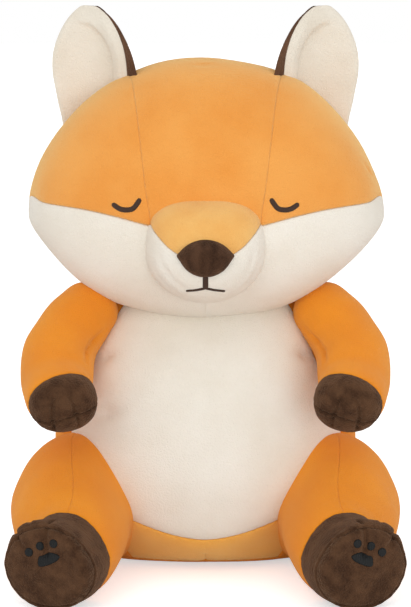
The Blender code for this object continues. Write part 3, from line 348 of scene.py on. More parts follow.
TAIL_RING_SHARES = (
    (0, 0.4), (0.05, 0.53), (0.18, 0.62), (0.36, 0.82), (0.54, 0.98), (0.7, 1), (0.84, 0.8), (0.94, 0.5),
    (0.985, 0.25))
EAR_LEVEL_SHARES = (0.03, 0.18, 0.34, 0.5, 0.64, 0.76, 0.85, 0.915, 0.96, 0.988)
EAR_WIDTH_SHARES = (
    (0, 0.9), (0.18, 0.98), (0.36, 1), (0.56, 0.98), (0.7, 0.87), (0.8, 0.72), (0.89, 0.54), (0.955, 0.335),
    (0.985, 0.2), (1, 0.1))
SMILE_SHARES = ((-1, 1), (-0.5, 0.62), (-0.12, 0.22), (0, 0.1), (0.12, 0.22), (0.5, 0.62), (1, 1))
PAD_RING_SHARES = ((0.9, -0.9), (1, 0), (0.97, 0.5), (0.86, 0.85), (0.5, 1))
# The cuts of each coarse cell, closer together at its edges, where seams run
CUT_SHARES = (0, 0.05, 0.13, 0.26, 0.42, 0.58, 0.74, 0.87, 0.95)

SCENE = bpy.context.scene
UP = Vector((0, 0, 1))
AHEAD = Vector((0, -1, 0))
MATERIALS = {}


def hermite(t):
    """The weights of start, start slope, end and end slope on a smooth curve at t."""
    return 2 * t ** 3 - 3 * t ** 2 + 1, t ** 3 - 2 * t ** 2 + t, -2 * t ** 3 + 3 * t ** 2, t ** 3 - t ** 2


def curve_value(shares, place):
    """A smooth curve through (place, value) pairs."""
    places, values = np.array(shares).T
    slopes = np.gradient(values, places)
    index = int(np.clip(np.searchsorted(places, place) - 1, 0, len(places) - 2))
    width = places[index + 1] - places[index]
    a, b, c, d = hermite((min(max(place, places[0]), places[-1]) - places[index]) / width)
    start = a * values[index] + b * width * slopes[index]
    return float(start + (c * values[index + 1] + d * width * slopes[index + 1]))


def path_point(points, share):
    """A point on the smooth curve through a list of points, and the direction there."""
    count = len(points) - 1
    place = min(max(share, 0), 1) * count
    index = min(int(place), count - 1)
    t = place - index
    before, start = points[max(index - 1, 0)], points[index]
    end, after = points[index + 1], points[min(index + 2, count)]
    start_slope, end_slope = (end - before) / 2, (after - start) / 2
    a, b, c, d = hermite(t)
    heading = ((6 * t ** 2 - 6 * t) * start + (3 * t ** 2 - 4 * t + 1) * start_slope
               + (-6 * t ** 2 + 6 * t) * end + (3 * t ** 2 - 2 * t) * end_slope)
    return a * start + b * start_slope + c * end + d * end_slope, heading.normalized()


def smooth_between(rows, before, after):
    """Finer rows of points on smooth curves through the rows."""
    full = np.concatenate([before[None], rows, after[None]])
    steps = np.diff(full, axis=0)
    gaps = np.maximum(np.linalg.norm(steps, axis=2).mean(axis=1), LEAST_GAP)[:, None, None]
    slopes = steps / gaps
    tangents = (slopes[:-1] * gaps[1:] + slopes[1:] * gaps[:-1]) / (gaps[:-1] + gaps[1:])
    a, b, c, d = hermite(np.array(CUT_SHARES)[None, :, None, None])
    gap = gaps[1:-1, None]
    out = (a * rows[:-1, None] + b * gap * tangents[:-1, None]
           + c * rows[1:, None] + d * gap * tangents[1:, None])
    return np.concatenate([out.reshape(-1, rows.shape[1], 3), rows[-1:]])


def power(value, exponent):
    return copysign(abs(value) ** exponent, value)


def bell(value):
    """1 at 0, falling smoothly on both sides."""
    return exp(-value ** 2)


def eased(share):
    return share * share * (3 - 2 * share)


def full_turn(count):
    return [2 * pi * step / count for step in range(count)]


def split_turn(first, last, columns, others, whole=2 * pi):
    """Angles from first to last over some columns, and on round to first over the others."""
    return ([first + (last - first) * column / columns for column in range(columns)]
            + [last + (whole + first - last) * column / others for column in range(others)])


def middle_of(points):
    return sum(points, Vector()) / len(points)


def level(vector):
    """The direction of a vector over the floor."""
    return Vector((vector.x, vector.y, 0)).normalized()


def point_tree(points):
    tree = KDTree(len(points))
    for place, point in enumerate(points):
        tree.insert(point, place)
    tree.balance()
    return tree


def stepped(start, end):
    """Points a seam's width apart from one point to another, with their shares of the way."""
    count = max(1, int((end - start).length / SEAM_WIDTH))
    return [(start.lerp(end, step / count), step / count) for step in range(count + 1)]


class Skin:
    """A fine closed surface through a start pole, coarse rings of points and an end pole.
    Its columns run from pole to pole, and seams follow the coarse rows and columns."""

    def __init__(self, start, rings, end):
        rings = np.array([[tuple(point) for point in ring] for ring in rings])
        self.rows, self.columns = len(rings) + 1, rings.shape[1]
        poles = [np.repeat(np.array([tuple(pole)]), self.columns, axis=0) for pole in (start, end)]
        rows = np.concatenate([poles[0][None], rings, poles[1][None]])
        before, after = (np.roll(ring, self.columns // 2, axis=0) for ring in (rings[0], rings[-1]))
        fine = smooth_between(rows, before, after)
        across = fine.transpose(1, 0, 2)
        closed = np.concatenate([across, across[:1]])
        fine = smooth_between(closed, across[-1], across[1])[:-1]
        self.grid = fine.transpose(1, 0, 2).copy()
        a, b = self.grid[:-1], self.grid[1:]
        c, d = np.roll(b, -1, axis=1), np.roll(a, -1, axis=1)
        self.outward = copysign(1, (a * np.cross(b, c)).sum() + (a * np.cross(c, d)).sum())

    def normals(self):
        along = np.gradient(self.grid, axis=0)
        across = (np.roll(self.grid, -1, axis=1) - np.roll(self.grid, 1, axis=1)) / 2
        normals = np.cross(along, across) * self.outward
        for row, near in ((0, 1), (-1, -2)):
            normals[row] = normals[near].mean(axis=0)
        return normals / np.maximum(np.linalg.norm(normals, axis=2, keepdims=True), LEAST_AREA)

    def push(self, distances):
        """Moves each point of the grid out along its normal."""
        self.grid += self.normals() * distances[:, :, None]

    def press(self, distance):
        """Moves each point out by what a function says for its place."""
        distances = [distance(Vector(point)) for point in self.grid.reshape(-1, 3)]
        self.push(np.array(distances).reshape(self.grid.shape[:2]))

    def line(self, *spans):
        """The points along a coarse row or column, from one end to the other."""
        steps = len(CUT_SHARES)
        low, high, first, last = (place * steps for span in spans
                                  for place in (span if isinstance(span, tuple) else (span, span)))
        return [Vector(self.grid[row, column % self.grid.shape[1]])
                for row in range(low, high + 1) for column in range(first, last + 1)]

    def sew(self, *lines, seam=PLAIN_SEAM, lip=0):
        """Draws the surface in along seams, with small puckers beside them."""
        depth, dip, pucker = seam
        points, lengths = [], []
        for spans in lines:
            length, line = 0, self.line(*spans)
            for start, end in zip(line, line[1:]):
                gap = (end - start).length
                for point, share in stepped(start, end)[:-1]:
                    points.append(point)
                    lengths.append(length + gap * share)
                length += gap
        tree = point_tree(points)

        def drawn_in(point):
            _, place, gap = tree.find(point)
            drift = PUCKER_DRIFT * noise.noise(point / PUCKER_LENGTH)
            ripple = sin(2 * pi * lengths[place] / PUCKER_LENGTH + drift)
            return (-depth * exp(-(gap / SEAM_WIDTH)) - dip * bell(gap / SEAM_DIP_WIDTH)
                    + lip * bell((gap - LIP_PLACE) / LIP_WIDTH)
                    + pucker * ripple * exp(-gap / PUCKER_REACH) * min(1, gap / SEAM_WIDTH))

        self.press(drawn_in)

    def crease(self, lines, depth, width):
        """Draws the surface in along lines of (point, strength) pairs."""
        points, strengths = [], []
        for line in lines:
            for (start, first), (end, last) in zip(line, line[1:]):
                for point, share in stepped(start, end):
                    points.append(point)
                    strengths.append(first + (last - first) * share)
        tree = point_tree(points)

        def drawn_in(point):
            _, place, gap = tree.find(point)
            return -depth * strengths[place] * bell(gap / width)

        self.press(drawn_in)

    def slide(self, shift):
        """Moves the grid's lines along the surface, which keeps its form."""
        tree = self.tree()
        places = map(Vector, self.grid.reshape(-1, 3))
        moved = [tree.find_nearest(place + shift(place))[0] for place in places]
        self.grid = np.array([tuple(place) for place in moved]).reshape(self.grid.shape)

    def soften(self, height, length, seed):
        """Adds the uneven swells of hand-filled stuffing."""
        offset = Vector((seed, seed, seed))
        self.press(lambda point: height * noise.noise(point / length + offset))

    def settle(self):
        """Flattens on the floor what would sink into it."""
        self.grid[:, :, 2] = np.maximum(self.grid[:, :, 2], 0)

    def dish(self, inner_column):
        """Sinks the ear's lining between its rolled inner rim and its outer edge."""
        columns = inner_column * len(CUT_SHARES)
        lining = self.grid[:, :columns]
        from_rim, from_edge = (np.linalg.norm(lining[:, :, None] - self.grid[:, column], axis=3).min(axis=2)
                               for column in (columns, 0))
        into = np.clip((from_rim - RIM_WIDTH) / RIM_SLOPE, 0, 1)
        away = np.clip(from_edge / DISH_EDGE, 0, 1)
        rolled = np.exp(-((from_rim - RIM_WIDTH / 2) / (RIM_WIDTH / 2)) ** 2)
        rolled *= np.clip(from_rim / RIM_SLOPE, 0, 1)
        sunk = np.zeros(self.grid.shape[:2])
        sunk[:, :columns] = RIM_RISE * rolled * away - DISH_DEPTH * eased(into) * eased(away)
        self.push(sunk)

    def panel(self, rows, columns):
        """A shell of fabric: the cells between two coarse rows and two coarse columns."""
        low, high, first, last = (place * len(CUT_SHARES) for place in (*rows, *columns))
        width = last - first + 1
        picked = self.grid[low:high + 1, [column % self.grid.shape[1] for column in range(first, last + 1)]]
        corners = [row * width + column for row in range(high - low) for column in range(width - 1)]
        faces = [(a, a + width, a + width + 1, a + 1)[::int(self.outward)] for a in corners]
        return picked.reshape(-1, 3), faces

    def mirrored(self):
        """The same surface on the other side of the X = 0 plane."""
        other = object.__new__(Skin)
        other.__dict__.update(self.__dict__)
        other.grid = self.grid * np.array([-1, 1, 1])
        other.outward = -self.outward
        return other

    def tree(self):
        """Finds points on the surface."""
        points, faces = self.panel((0, self.rows), (0, self.columns))
        return BVHTree.FromPolygons([tuple(point) for point in points], faces)


def hit(tree, start, direction):
    point, normal, _, _ = tree.ray_cast(start, direction)
    return point, (normal if normal.dot(direction) < 0 else -normal)


def seen_line(tree, centre, places, ahead=AHEAD):
    """Points on a surface for (outward, up, behind, strength) about a centre, facing ahead."""
    side = -ahead.cross(UP).normalized()
    return [(tree.find_nearest(centre + (side * outward + UP * rise - ahead * behind) * MM)[0], strength)
            for outward, rise, behind, strength in places]


def laid_line(tree, places):
    """The nearest points on a surface to (x, y, z, strength)."""
    return [(tree.find_nearest(Vector(place) * MM)[0], strength) for *place, strength in places]


def add_object(name, data):
    made = bpy.data.objects.new(name, data)
    SCENE.collection.objects.link(made)
    return made


def add_piece(name, shape, body, finish, nodes, thick=FABRIC):
    """A piece from points and faces; a skin gets the fabric's thickness on its inner side."""
    points, faces = shape
    mesh = bpy.data.meshes.new(name)
    mesh.from_pydata([tuple(point) for point in points], [], faces)
    work = bmesh.new()
    work.from_mesh(mesh)
    bmesh.ops.remove_doubles(work, verts=work.verts, dist=WELD)
    if thick:
        inner = {vertex: work.verts.new(vertex.co - vertex.normal * thick) for vertex in list(work.verts)}
        rims = [(edge, edge.link_loops[0]) for edge in work.edges if edge.is_boundary]
        sides = [(loop.vert, loop.link_loop_next.vert) for _, loop in rims]
        for face in list(work.faces):
            work.faces.new([inner[vertex] for vertex in reversed(face.verts)])
        for a, b in sides:
            work.faces.new([b, a, inner[a], inner[b]])
    else:
        bmesh.ops.recalc_face_normals(work, faces=work.faces)
    work.to_mesh(mesh)
    work.free()
    mesh.shade_smooth()
    mesh.materials.append(MATERIALS[finish])
    piece = add_object(name, mesh)
    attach(piece, body)
    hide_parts(*nodes)


def add_skins(skin, body, panels, side="", thick=FABRIC):
    """The panels of a skin, each as (name, rows, columns, finish, nodes); side ends every name."""
    for name, rows, columns, finish, *nodes in panels:
        nodes = [node + side for node in nodes]
        add_piece(name + side, skin.panel(rows, columns), body, finish, nodes, thick)


def add_stitches(name, shape, body, finish, node):
    """Raised embroidery, which is solid and not stuffed."""
    add_piece(name, shape, body, finish, [node], 0)


def both_sides(right):
    return ("_left", -1, right.mirrored()), ("_right", 1, right)


def head_sizes(x):
    """Rise, drop, front depth and back depth of the head's section at x."""
    u = min(abs(x) / HEAD_HALF_WIDTH, 1)
    circle = sqrt(max(1 - u * u, 0))
    depth = max(1 - u ** HEAD_DEPTH_ROUND, 0) ** (1 / HEAD_DEPTH_ROUND)
    rise = HEAD_RISE * circle * (1 - TOP_PINCH_SHARE * u ** TOP_PINCH_POWER)
    drop = HEAD_DROP * circle * (1 - LOW_PINCH_SHARE * u ** LOW_PINCH_POWER)
    return rise, drop, HEAD_FRONT * depth, HEAD_BACK * depth


def head_point(x, angle):
    rise, drop, front, back = head_sizes(x)
    along, up = cos(angle), sin(angle)
    exponent = 2 / (HEAD_ROUND if up > 0 else HEAD_LOW_ROUND)
    return Vector((x, HEAD_MIDDLE_Y - power(along, exponent) * (front if along > 0 else back),
                   HEAD_MIDDLE_Z + power(up, exponent) * (rise if up > 0 else drop)))


def head_tips():
    """The poles of the head, at the tips of the right cheek and the left."""
    return [Vector((sign * HEAD_HALF_WIDTH, HEAD_MIDDLE_Y, HEAD_MIDDLE_Z)) for sign in (1, -1)]


def cheek_angle(x):
    rise, drop, _, _ = head_sizes(x)
    height = CHEEK_SEAM_RISE * curve_value(CHEEK_SEAM_SHARES, abs(x) / HEAD_HALF_WIDTH)
    size, roundness = (rise, HEAD_ROUND) if height > 0 else (drop, HEAD_LOW_ROUND)
    turn = power(height / size, roundness / 2)
    return asin(max(-CHEEK_SEAM_LIMIT, min(CHEEK_SEAM_LIMIT, turn)))


def head_skin():
    """Columns that turn from the cheek seam over the crown to the back, and under it."""
    top, back = HEAD_TOP_COLUMNS, HEAD_TOP_COLUMNS + HEAD_BACK_COLUMNS
    columns = back + HEAD_LOW_COLUMNS
    half = HEAD_SIDE_ROWS + HEAD_HALF_ROWS
    rings = []
    for row in range(1, 2 * half):
        ring = []
        for column in range(columns):
            climb = min(column / top, 1) if column <= back else (columns - column) / HEAD_LOW_COLUMNS
            gusset = GUSSET_HALF_BOTTOM + (GUSSET_HALF_TOP - GUSSET_HALF_BOTTOM) * climb ** GUSSET_CURVE
            from_side = min(row, 2 * half - row)
            if from_side <= HEAD_SIDE_ROWS:
                x = gusset + (HEAD_HALF_WIDTH - gusset) * cos(from_side / HEAD_SIDE_ROWS * pi / 2)
            else:
                x = gusset * (half - from_side) / HEAD_HALF_ROWS
            x = copysign(x, half - row)
            seam = cheek_angle(x)
            if column <= top:
                angle = seam + (pi / 2 - seam) * column / top
            elif column <= back:
                angle = pi / 2 + pi * (column - top) / HEAD_BACK_COLUMNS
            else:
                angle = 1.5 * pi + (pi / 2 + seam) * ((column - back) / HEAD_LOW_COLUMNS)
            ring.append(head_point(x, angle))
        rings.append(ring)
    start, end = head_tips()
    return Skin(start, rings, end)


def muzzle_skin():
    """Poles at the front and the back, columns round the front axis."""
    rings = []
    for row in range(1, MUZZLE_ROWS):
        turn = pi * row / MUZZLE_ROWS
        out = sin(turn) ** MUZZLE_FULLNESS
        length = MUZZLE_LENGTH if turn < pi / 2 else MUZZLE_ROOT
        seam = radians(MUZZLE_SEAM_DEG) * curve_value(MUZZLE_SEAM_SHARES, row / MUZZLE_ROWS)
        ring = []
        for angle in split_turn(pi - seam, seam, MUZZLE_TOP_COLUMNS, MUZZLE_LOW_COLUMNS, -2 * pi):
            exponent = 2 / (MUZZLE_ROUND if sin(angle) > 0 else MUZZLE_LOW_ROUND)
            across, up = power(cos(angle), exponent), power(sin(angle), exponent)
            ring.append(Vector((MUZZLE_HALF_WIDTH * out * across, MUZZLE_MIDDLE_Y - length * cos(turn),
                                MUZZLE_Z + MUZZLE_HALF_HEIGHT * out * up)))
        rings.append(ring)
    return Skin(MUZZLE_FRONT, rings, Vector((0, MUZZLE_MIDDLE_Y + MUZZLE_ROOT, MUZZLE_Z)))


def nose_skin():
    middle = NOSE_Z + NOSE_LIFT
    rings = []
    for row in range(1, NOSE_ROWS):
        turn = pi * row / NOSE_ROWS
        ring = []
        for angle in full_turn(NOSE_COLUMNS):
            across, up = cos(angle), sin(angle)
            reach = 1 - abs(across) ** (NOSE_TOP_POWER if up > 0 else NOSE_LOW_POWER)
            height = (NOSE_RISE if up > 0 else -NOSE_FALL) * reach
            ring.append(Vector((NOSE_HALF_WIDTH * sin(turn) * across, NOSE_Y - NOSE_HALF_DEPTH * cos(turn),
                                middle + height * sin(turn))))
        rings.append(ring)
    start, end = (Vector((0, NOSE_Y + depth, middle)) for depth in (-NOSE_HALF_DEPTH, NOSE_HALF_DEPTH))
    return Skin(start, rings, end)


def body_skin():
    """Poles at the floor and the neck, columns from one belly seam round the front to the other."""
    rings = []
    for place, height in enumerate(BODY_RING_SHARES):
        half = BODY_HALF_WIDTH * curve_value(BODY_WIDTH_SHARES, height)
        front = BODY_FRONT * curve_value(BODY_FRONT_SHARES, height)
        back = BODY_BACK * curve_value(BODY_BACK_SHARES, height)
        seam = asin(min(curve_value(BELLY_WIDTH_SHARES, height) ** (BODY_ROUND / 2), 1))
        near_seam = bell((place + 1 - BELLY_LOW_RING) / BELLY_SEAM_SPREAD) if place > 1 else 0
        ring = []
        for angle in split_turn(-seam, seam, BELLY_COLUMNS, 2 * SIDE_COLUMNS):
            across, ahead = sin(angle), cos(angle)
            lift = BELLY_SEAM_RISE * near_seam * max(ahead, 0) * abs(across) ** BELLY_SEAM_CURVE
            ring.append(Vector((half * power(across, 2 / BODY_ROUND),
                                -(front if ahead > 0 else back) * power(ahead, 2 / BODY_ROUND),
                                BODY_HEIGHT * height + lift)))
        rings.append(ring)
    return Skin(Vector(), rings, Vector((0, 0, BODY_HEIGHT)))


def limb_skin(path, rings_table, half_width, half_height, columns, on_floor=False, tip=0, pear=0):
    """Rings square to a path; a limb on the floor has its underside at one level."""
    rings = []
    for share, wide, high in rings_table:
        point, heading = path_point(path, share)
        if on_floor:
            point = Vector((point.x, point.y, half_height * max(high, FOOT_SHARE) - BASE_CUT))
            heading = level(heading)
        side = heading.cross(UP).normalized()
        up = side.cross(heading)
        rings.append([point + side * (half_width * wide * (1 - pear * max(sin(angle), 0)) * cos(angle))
                      + up * (half_height * high * sin(angle)) for angle in full_turn(columns)])
    start, (end, heading) = path[0], path_point(path, 1)
    if on_floor:
        start, end, heading = middle_of(rings[0]), middle_of(rings[-1]), level(heading)
    return Skin(start, rings, end + heading * tip)


def arm_skin():
    path = [Vector(point) for point in (SHOULDER, ELBOW, WRIST, PAW)]
    return limb_skin(path, ARM_RING_SHARES, ARM_RADIUS, ARM_RADIUS, ARM_COLUMNS)


def leg_skin():
    path = [Vector((*HIP, THIGH_HALF_HEIGHT)), Vector((*THIGH, THIGH_HALF_HEIGHT)), Vector((*ANKLE, 0)),
            Vector((*SOLE, 0))]
    return limb_skin(path, LEG_RING_SHARES, THIGH_HALF_WIDTH, THIGH_HALF_HEIGHT, LEG_COLUMNS, on_floor=True,
                     tip=SOLE_CROWN, pear=LEG_PEAR_SHARE)


def tail_skin():
    path = [Vector((0, *TAIL_ROOT)), Vector((0, (TAIL_ROOT[0] + TAIL_END[0]) / 2, TAIL_RADIUS)),
            Vector((0, *TAIL_END))]
    table = [(share, wide, wide) for share, wide in TAIL_RING_SHARES]
    return limb_skin(path, table, TAIL_RADIUS, TAIL_RADIUS, TAIL_COLUMNS)


def ear_skin():
    """A cupped leaf: the lining's columns first, then those of the back."""
    lean, turn = radians(EAR_LEAN_DEG), radians(EAR_TURN_DEG)
    ahead, outward = Vector((sin(turn), -cos(turn), 0)), Vector((cos(turn), sin(turn), 0))
    up = Vector((sin(lean), 0, cos(lean)))
    first, spread = radians(EAR_LINING_FROM_DEG), EAR_LINING_TIP_DEG - EAR_LINING_TO_DEG
    rings = []
    for height in EAR_LEVEL_SHARES:
        last = radians(EAR_LINING_TO_DEG + spread * height ** EAR_LINING_CURVE)
        width = EAR_HALF_WIDTH * curve_value(EAR_WIDTH_SHARES, height)
        thick = EAR_THICKNESS / 2 * min(1, EAR_TIP_FULLNESS * width / EAR_HALF_WIDTH)
        ring = []
        for angle in split_turn(first, last, EAR_LINING_COLUMNS, EAR_BACK_COLUMNS):
            across, proud = width * cos(angle), thick * sin(angle)
            across *= 1 + EAR_INNER_SHARE * max(-cos(angle), 0)
            proud += EAR_CUP * (across / EAR_HALF_WIDTH) ** 2
            ring.append(Vector(EAR_BASE) + up * (EAR_LENGTH * height) + outward * across + ahead * proud)
        rings.append(ring)
    tip = EAR_LENGTH * (1 - EAR_LEVEL_SHARES[-1]) * EAR_TIP_SHARE
    return Skin(middle_of(rings[0]), rings, middle_of(rings[-1]) + up * tip)


def thread_shape(tree, places, width):
    """A raised line of satin stitch along (x, z) places on the front of a surface."""
    path = [Vector((x, -BODY_HEIGHT, z)) for x, z in places]
    hits = [hit(tree, path_point(path, step / THREAD_STEPS)[0], -AHEAD) for step in range(THREAD_STEPS + 1)]
    rings = []
    for step, (point, normal) in enumerate(hits):
        along = (hits[min(step + 1, THREAD_STEPS)][0] - hits[max(step - 1, 0)][0]).normalized()
        side = along.cross(normal).normalized()
        end = min(step, THREAD_STEPS - step) / THREAD_STEPS
        narrow = min(1, THREAD_END_SHARE + (1 - THREAD_END_SHARE) * sqrt(end / THREAD_END_LENGTH))
        rings.append([point + side * (width / 2 * narrow * cos(angle)) + normal * (THREAD_PROUD * sin(angle))
                      for angle in full_turn(THREAD_COLUMNS)])
    start, after, before, end = (middle_of(ring) for ring in (*rings[:2], *rings[-2:]))
    tip = width * THREAD_TIP_SHARE
    start += (start - after).normalized() * tip
    end += (end - before).normalized() * tip
    return tube_shape(start, rings, end)


def tube_shape(start, rings, end):
    """Points and faces of a closed tube."""
    columns = len(rings[0])
    points = [start, *sum(rings, []), end]
    pairs = [(column, (column + 1) % columns) for column in range(columns)]
    faces, low = [(0, 1 + here, 1 + there) for here, there in pairs], 1
    for high in range(1 + columns, len(points) - 1, columns):
        faces += [(low + here, high + here, high + there, low + there) for here, there in pairs]
        low = high
    faces += [(low + here, len(points) - 1, low + there) for here, there in pairs]
    return points, faces


def pad_shape(tree, centre, heading, side, outline):
    """A low patch of stitches inside an outline on the sole."""
    point, normal = hit(tree, centre + heading * THIGH_HALF_WIDTH, -heading)
    across = (side - normal * side.dot(normal)).normalized()
    rise = (UP - normal * UP.dot(normal)).normalized()
    rings = []
    for share, lift in PAD_RING_SHARES:
        flat = [point + across * (outward * share) + rise * (upward * share) for outward, upward in outline]
        rings.append([tree.find_nearest(place)[0] + normal * (PAD_PROUD * lift) for place in flat])
    return tube_shape(point - normal * PAD_PROUD, rings, point + normal * PAD_PROUD)


def fill_in(tree, node, values, wires):
    """Sets a node's own sockets, and wires outputs into others."""
    for socket, value in values.items():
        node.inputs[socket].default_value = value
    for socket, output in wires.items():
        tree.links.new(output, node.inputs[socket])


def add_node(tree, kind, values={}, wires={}, **settings):
    node = tree.nodes.new("ShaderNode" + kind)
    for name, value in settings.items():
        setattr(node, name, value)
    fill_in(tree, node, values, wires)
    return node


def new_material(name):
    MATERIALS[name] = made = bpy.data.materials.new(name)
    made.use_nodes = True
    return made.node_tree, made.node_tree.nodes["Principled BSDF"]


def plush(name, deep, light, patch_length, sheen, tint, patch=0.22, grain=0.0011, bump=0.0006, streak=1):
    """Short-pile fabric: uneven nap in two tones, fine fibre grain, and a soft sheen."""
    tree, shader = new_material(name)
    place = add_node(tree, "TexCoord").outputs["Object"]
    stretched = add_node(tree, "Mapping", {"Scale": (1, 1, streak)}, {"Vector": place}).outputs["Vector"]

    def ranged(value, low, high, to_high=1):
        limits = {"From Min": low, "From Max": high, "To Min": 0, "To Max": to_high}
        return add_node(tree, "MapRange", limits, {"Value": value}).outputs["Result"]

    def cloud(vector, length, detail, low, high):
        clouds = add_node(tree, "TexNoise", {"Scale": 1 / length, "Detail": detail}, {"Vector": vector})
        return ranged(clouds.outputs["Fac"], low, high)

    def mixed(amount, tones, wires={}):
        return add_node(tree, "Mix", tones, {"Factor": amount, **wires}, data_type="RGBA").outputs[MIX_RESULT]

    fibres, patches = cloud(place, grain, *FIBRE_CLOUD), cloud(stretched, patch_length, *PATCH_CLOUD)
    tone = mixed(patches, {MIX_FIRST: (*deep, 1), MIX_SECOND: (*light, 1)})
    nap = mixed(ranged(fibres, 0, 1, patch), {MIX_SECOND: (*light, 1)}, {MIX_FIRST: tone})
    rise = add_node(tree, "Bump", {"Distance": bump, "Strength": PLUSH_BUMP}, {"Height": fibres})
    fill_in(tree, shader, {**PLUSH_SHADER, "Sheen Weight": sheen, "Sheen Tint": (*tint, 1)},
            {"Base Color": nap, "Normal": rise.outputs["Normal"]})


def stitched(name, colour, sheen):
    """Satin stitch: close parallel threads with a soft gloss."""
    tree, shader = new_material(name)
    place = add_node(tree, "TexCoord").outputs["Object"]
    threads = add_node(tree, "TexWave", STITCH_BANDS, {"Vector": place},
                       wave_type="BANDS", bands_direction="X")
    rise = add_node(tree, "Bump", STITCH_BUMP, {"Height": threads.outputs["Fac"]})
    fill_in(tree, shader, {**STITCH_SHADER, "Base Color": (*colour, 1), "Sheen Weight": sheen},
            {"Normal": rise.outputs["Normal"]})


def build_head():
    head = head_skin()
    top, back = HEAD_TOP_COLUMNS, HEAD_TOP_COLUMNS + HEAD_BACK_COLUMNS
    rows, columns, side = head.rows, head.columns, HEAD_SIDE_ROWS
    middle, along = rows // 2, (1, rows - 1)

    def shift(place):
        """Lifts the lines at the cheeks' tips."""
        return UP * TIP_SLIDE * sum(bell((place - tip).length / TIP_SLIDE_REACH) for tip in head_tips())

    head.slide(shift)
    head.soften(*HEAD_SWELL)
    head.crease([laid_line(head.tree(), line) for line in HEAD_CREASES], *HEAD_CREASE_CUT)
    head.sew((along, 0), (along, back))
    head.sew((side, (0, top)), (rows - side, (0, top)), (along, top), seam=FAINT_SEAM)
    head.sew((middle, (back, columns)), seam=CHIN_SEAM)
    # The head's orange panels wear the paler orange copy, whose tones paint the crown's sheen and top light
    add_skins(head, "head", (
        ("crown_plush", (side, rows - side), (0, top), "head_orange", "head_crown_panel", "head_stuffing"),
        ("side_plush_right", (0, side), (0, top), "head_orange", "head_side_panel_right"),
        ("side_plush_left", (rows - side, rows), (0, top), "head_orange", "head_side_panel_left"),
        ("cheek_plush_right", (0, middle), (back, columns), "cream", "cheek_panel_right"),
        ("cheek_plush_left", (middle, rows), (back, columns), "cream", "cheek_panel_left"),
        ("head_back_plush", (0, rows), (top, back), "head_orange", "head_back_panel")))
    muzzle = muzzle_skin()
    split, front = MUZZLE_TOP_COLUMNS, (0, muzzle.rows - 2)
    folds = [seen_line(muzzle.tree(), MUZZLE_FRONT, line) for line in MUZZLE_FOLDS]
    muzzle.crease(folds, *MUZZLE_FOLD_CUT)
    muzzle.sew((front, 0), (front, split))
    add_skins(muzzle, "head", (
        ("muzzle_top_plush", front, (0, split), "muzzle", "muzzle_top_panel", "muzzle_stuffing"),
        ("muzzle_chin_plush", front, (split, muzzle.columns), "cream", "muzzle_chin_panel")))
    nose = nose_skin()
    add_skins(nose, "head", [("nose_plush", (0, nose.rows), (0, nose.columns), "nose", "nose")], thick=0)
    add_embroidery(head.tree(), muzzle.tree())


def add_embroidery(face, muzzle):
    """The eyes, the smile and the stem from the smile to the nose."""
    for side, sign in (("_left", -1), ("_right", 1)):
        shape = thread_shape(face, [(x * sign, z) for x, z in EYE], EYE_THREAD_WIDTH)
        add_stitches("eye_stitch" + side, shape, "head", "thread", "eye" + side)
    smile = [(MOUTH_HALF_WIDTH * across, MOUTH_Z - MOUTH_SAG * low) for across, low in SMILE_SHARES]
    shape = thread_shape(muzzle, smile, MOUTH_THREAD_WIDTH)
    add_stitches("smile_stitch", shape, "head", "thread", "mouth_smile")
    stem = [(0, MOUTH_Z), (0, MOUTH_Z + MOUTH_STEM / 2), (0, MOUTH_Z + MOUTH_STEM)]
    shape = thread_shape(muzzle, stem, STEM_THREAD_WIDTH)
    add_stitches("stem_stitch", shape, "head", "thread", "mouth_stem")


def build_ears():
    right = ear_skin()
    rows, split = (0, right.rows), EAR_LINING_COLUMNS
    right.dish(split)
    right.sew((rows, split), seam=EAR_SEAM)
    for side, _, skin in both_sides(right):
        add_skins(skin, "ear" + side, (
            # The ear lining wears the darker cream copy, painted shade of the ear's dish
            ("ear_lining_plush", rows, (0, split), "lining", "ear_lining"),
            ("ear_back_plush", rows, (split, skin.columns), "ear_brown", "ear_back")), side, EAR_FABRIC)


def build_body():
    body = body_skin()
    rows, low, base = body.rows, BELLY_LOW_RING, BASE_RING
    belly, spine, columns = BELLY_COLUMNS, BELLY_COLUMNS + SIDE_COLUMNS, body.columns
    body.soften(*BODY_SWELL)
    body.crease([laid_line(body.tree(), line) for line in BELLY_FOLDS], *BELLY_FOLD_CUT)
    body.sew(((low, rows), 0), ((low, rows), belly), (low, (0, belly)))
    body.sew(((base, base + 1), belly // 2), seam=STRIP_SEAM)
    body.sew(((base, rows), spine), ((base, low), 0), ((base, low), belly), (base, (0, columns)),
             seam=FAINT_SEAM)
    body.settle()
    add_skins(body, "torso", (
        ("belly_plush", (low, rows), (0, belly), "cream", "belly_panel", "body_stuffing"),
        # The front strip wears the lighter orange copy, painted light from the floor's bounce
        ("front_strip_plush", (base, low), (0, belly), "strip_orange", "front_strip"),
        ("back_plush_right", (base, rows), (belly, spine), "orange", "back_panel_right"),
        ("back_plush_left", (base, rows), (spine, columns), "orange", "back_panel_left"),
        ("base_plush", (0, base), (0, columns), "orange", "base_panel")))


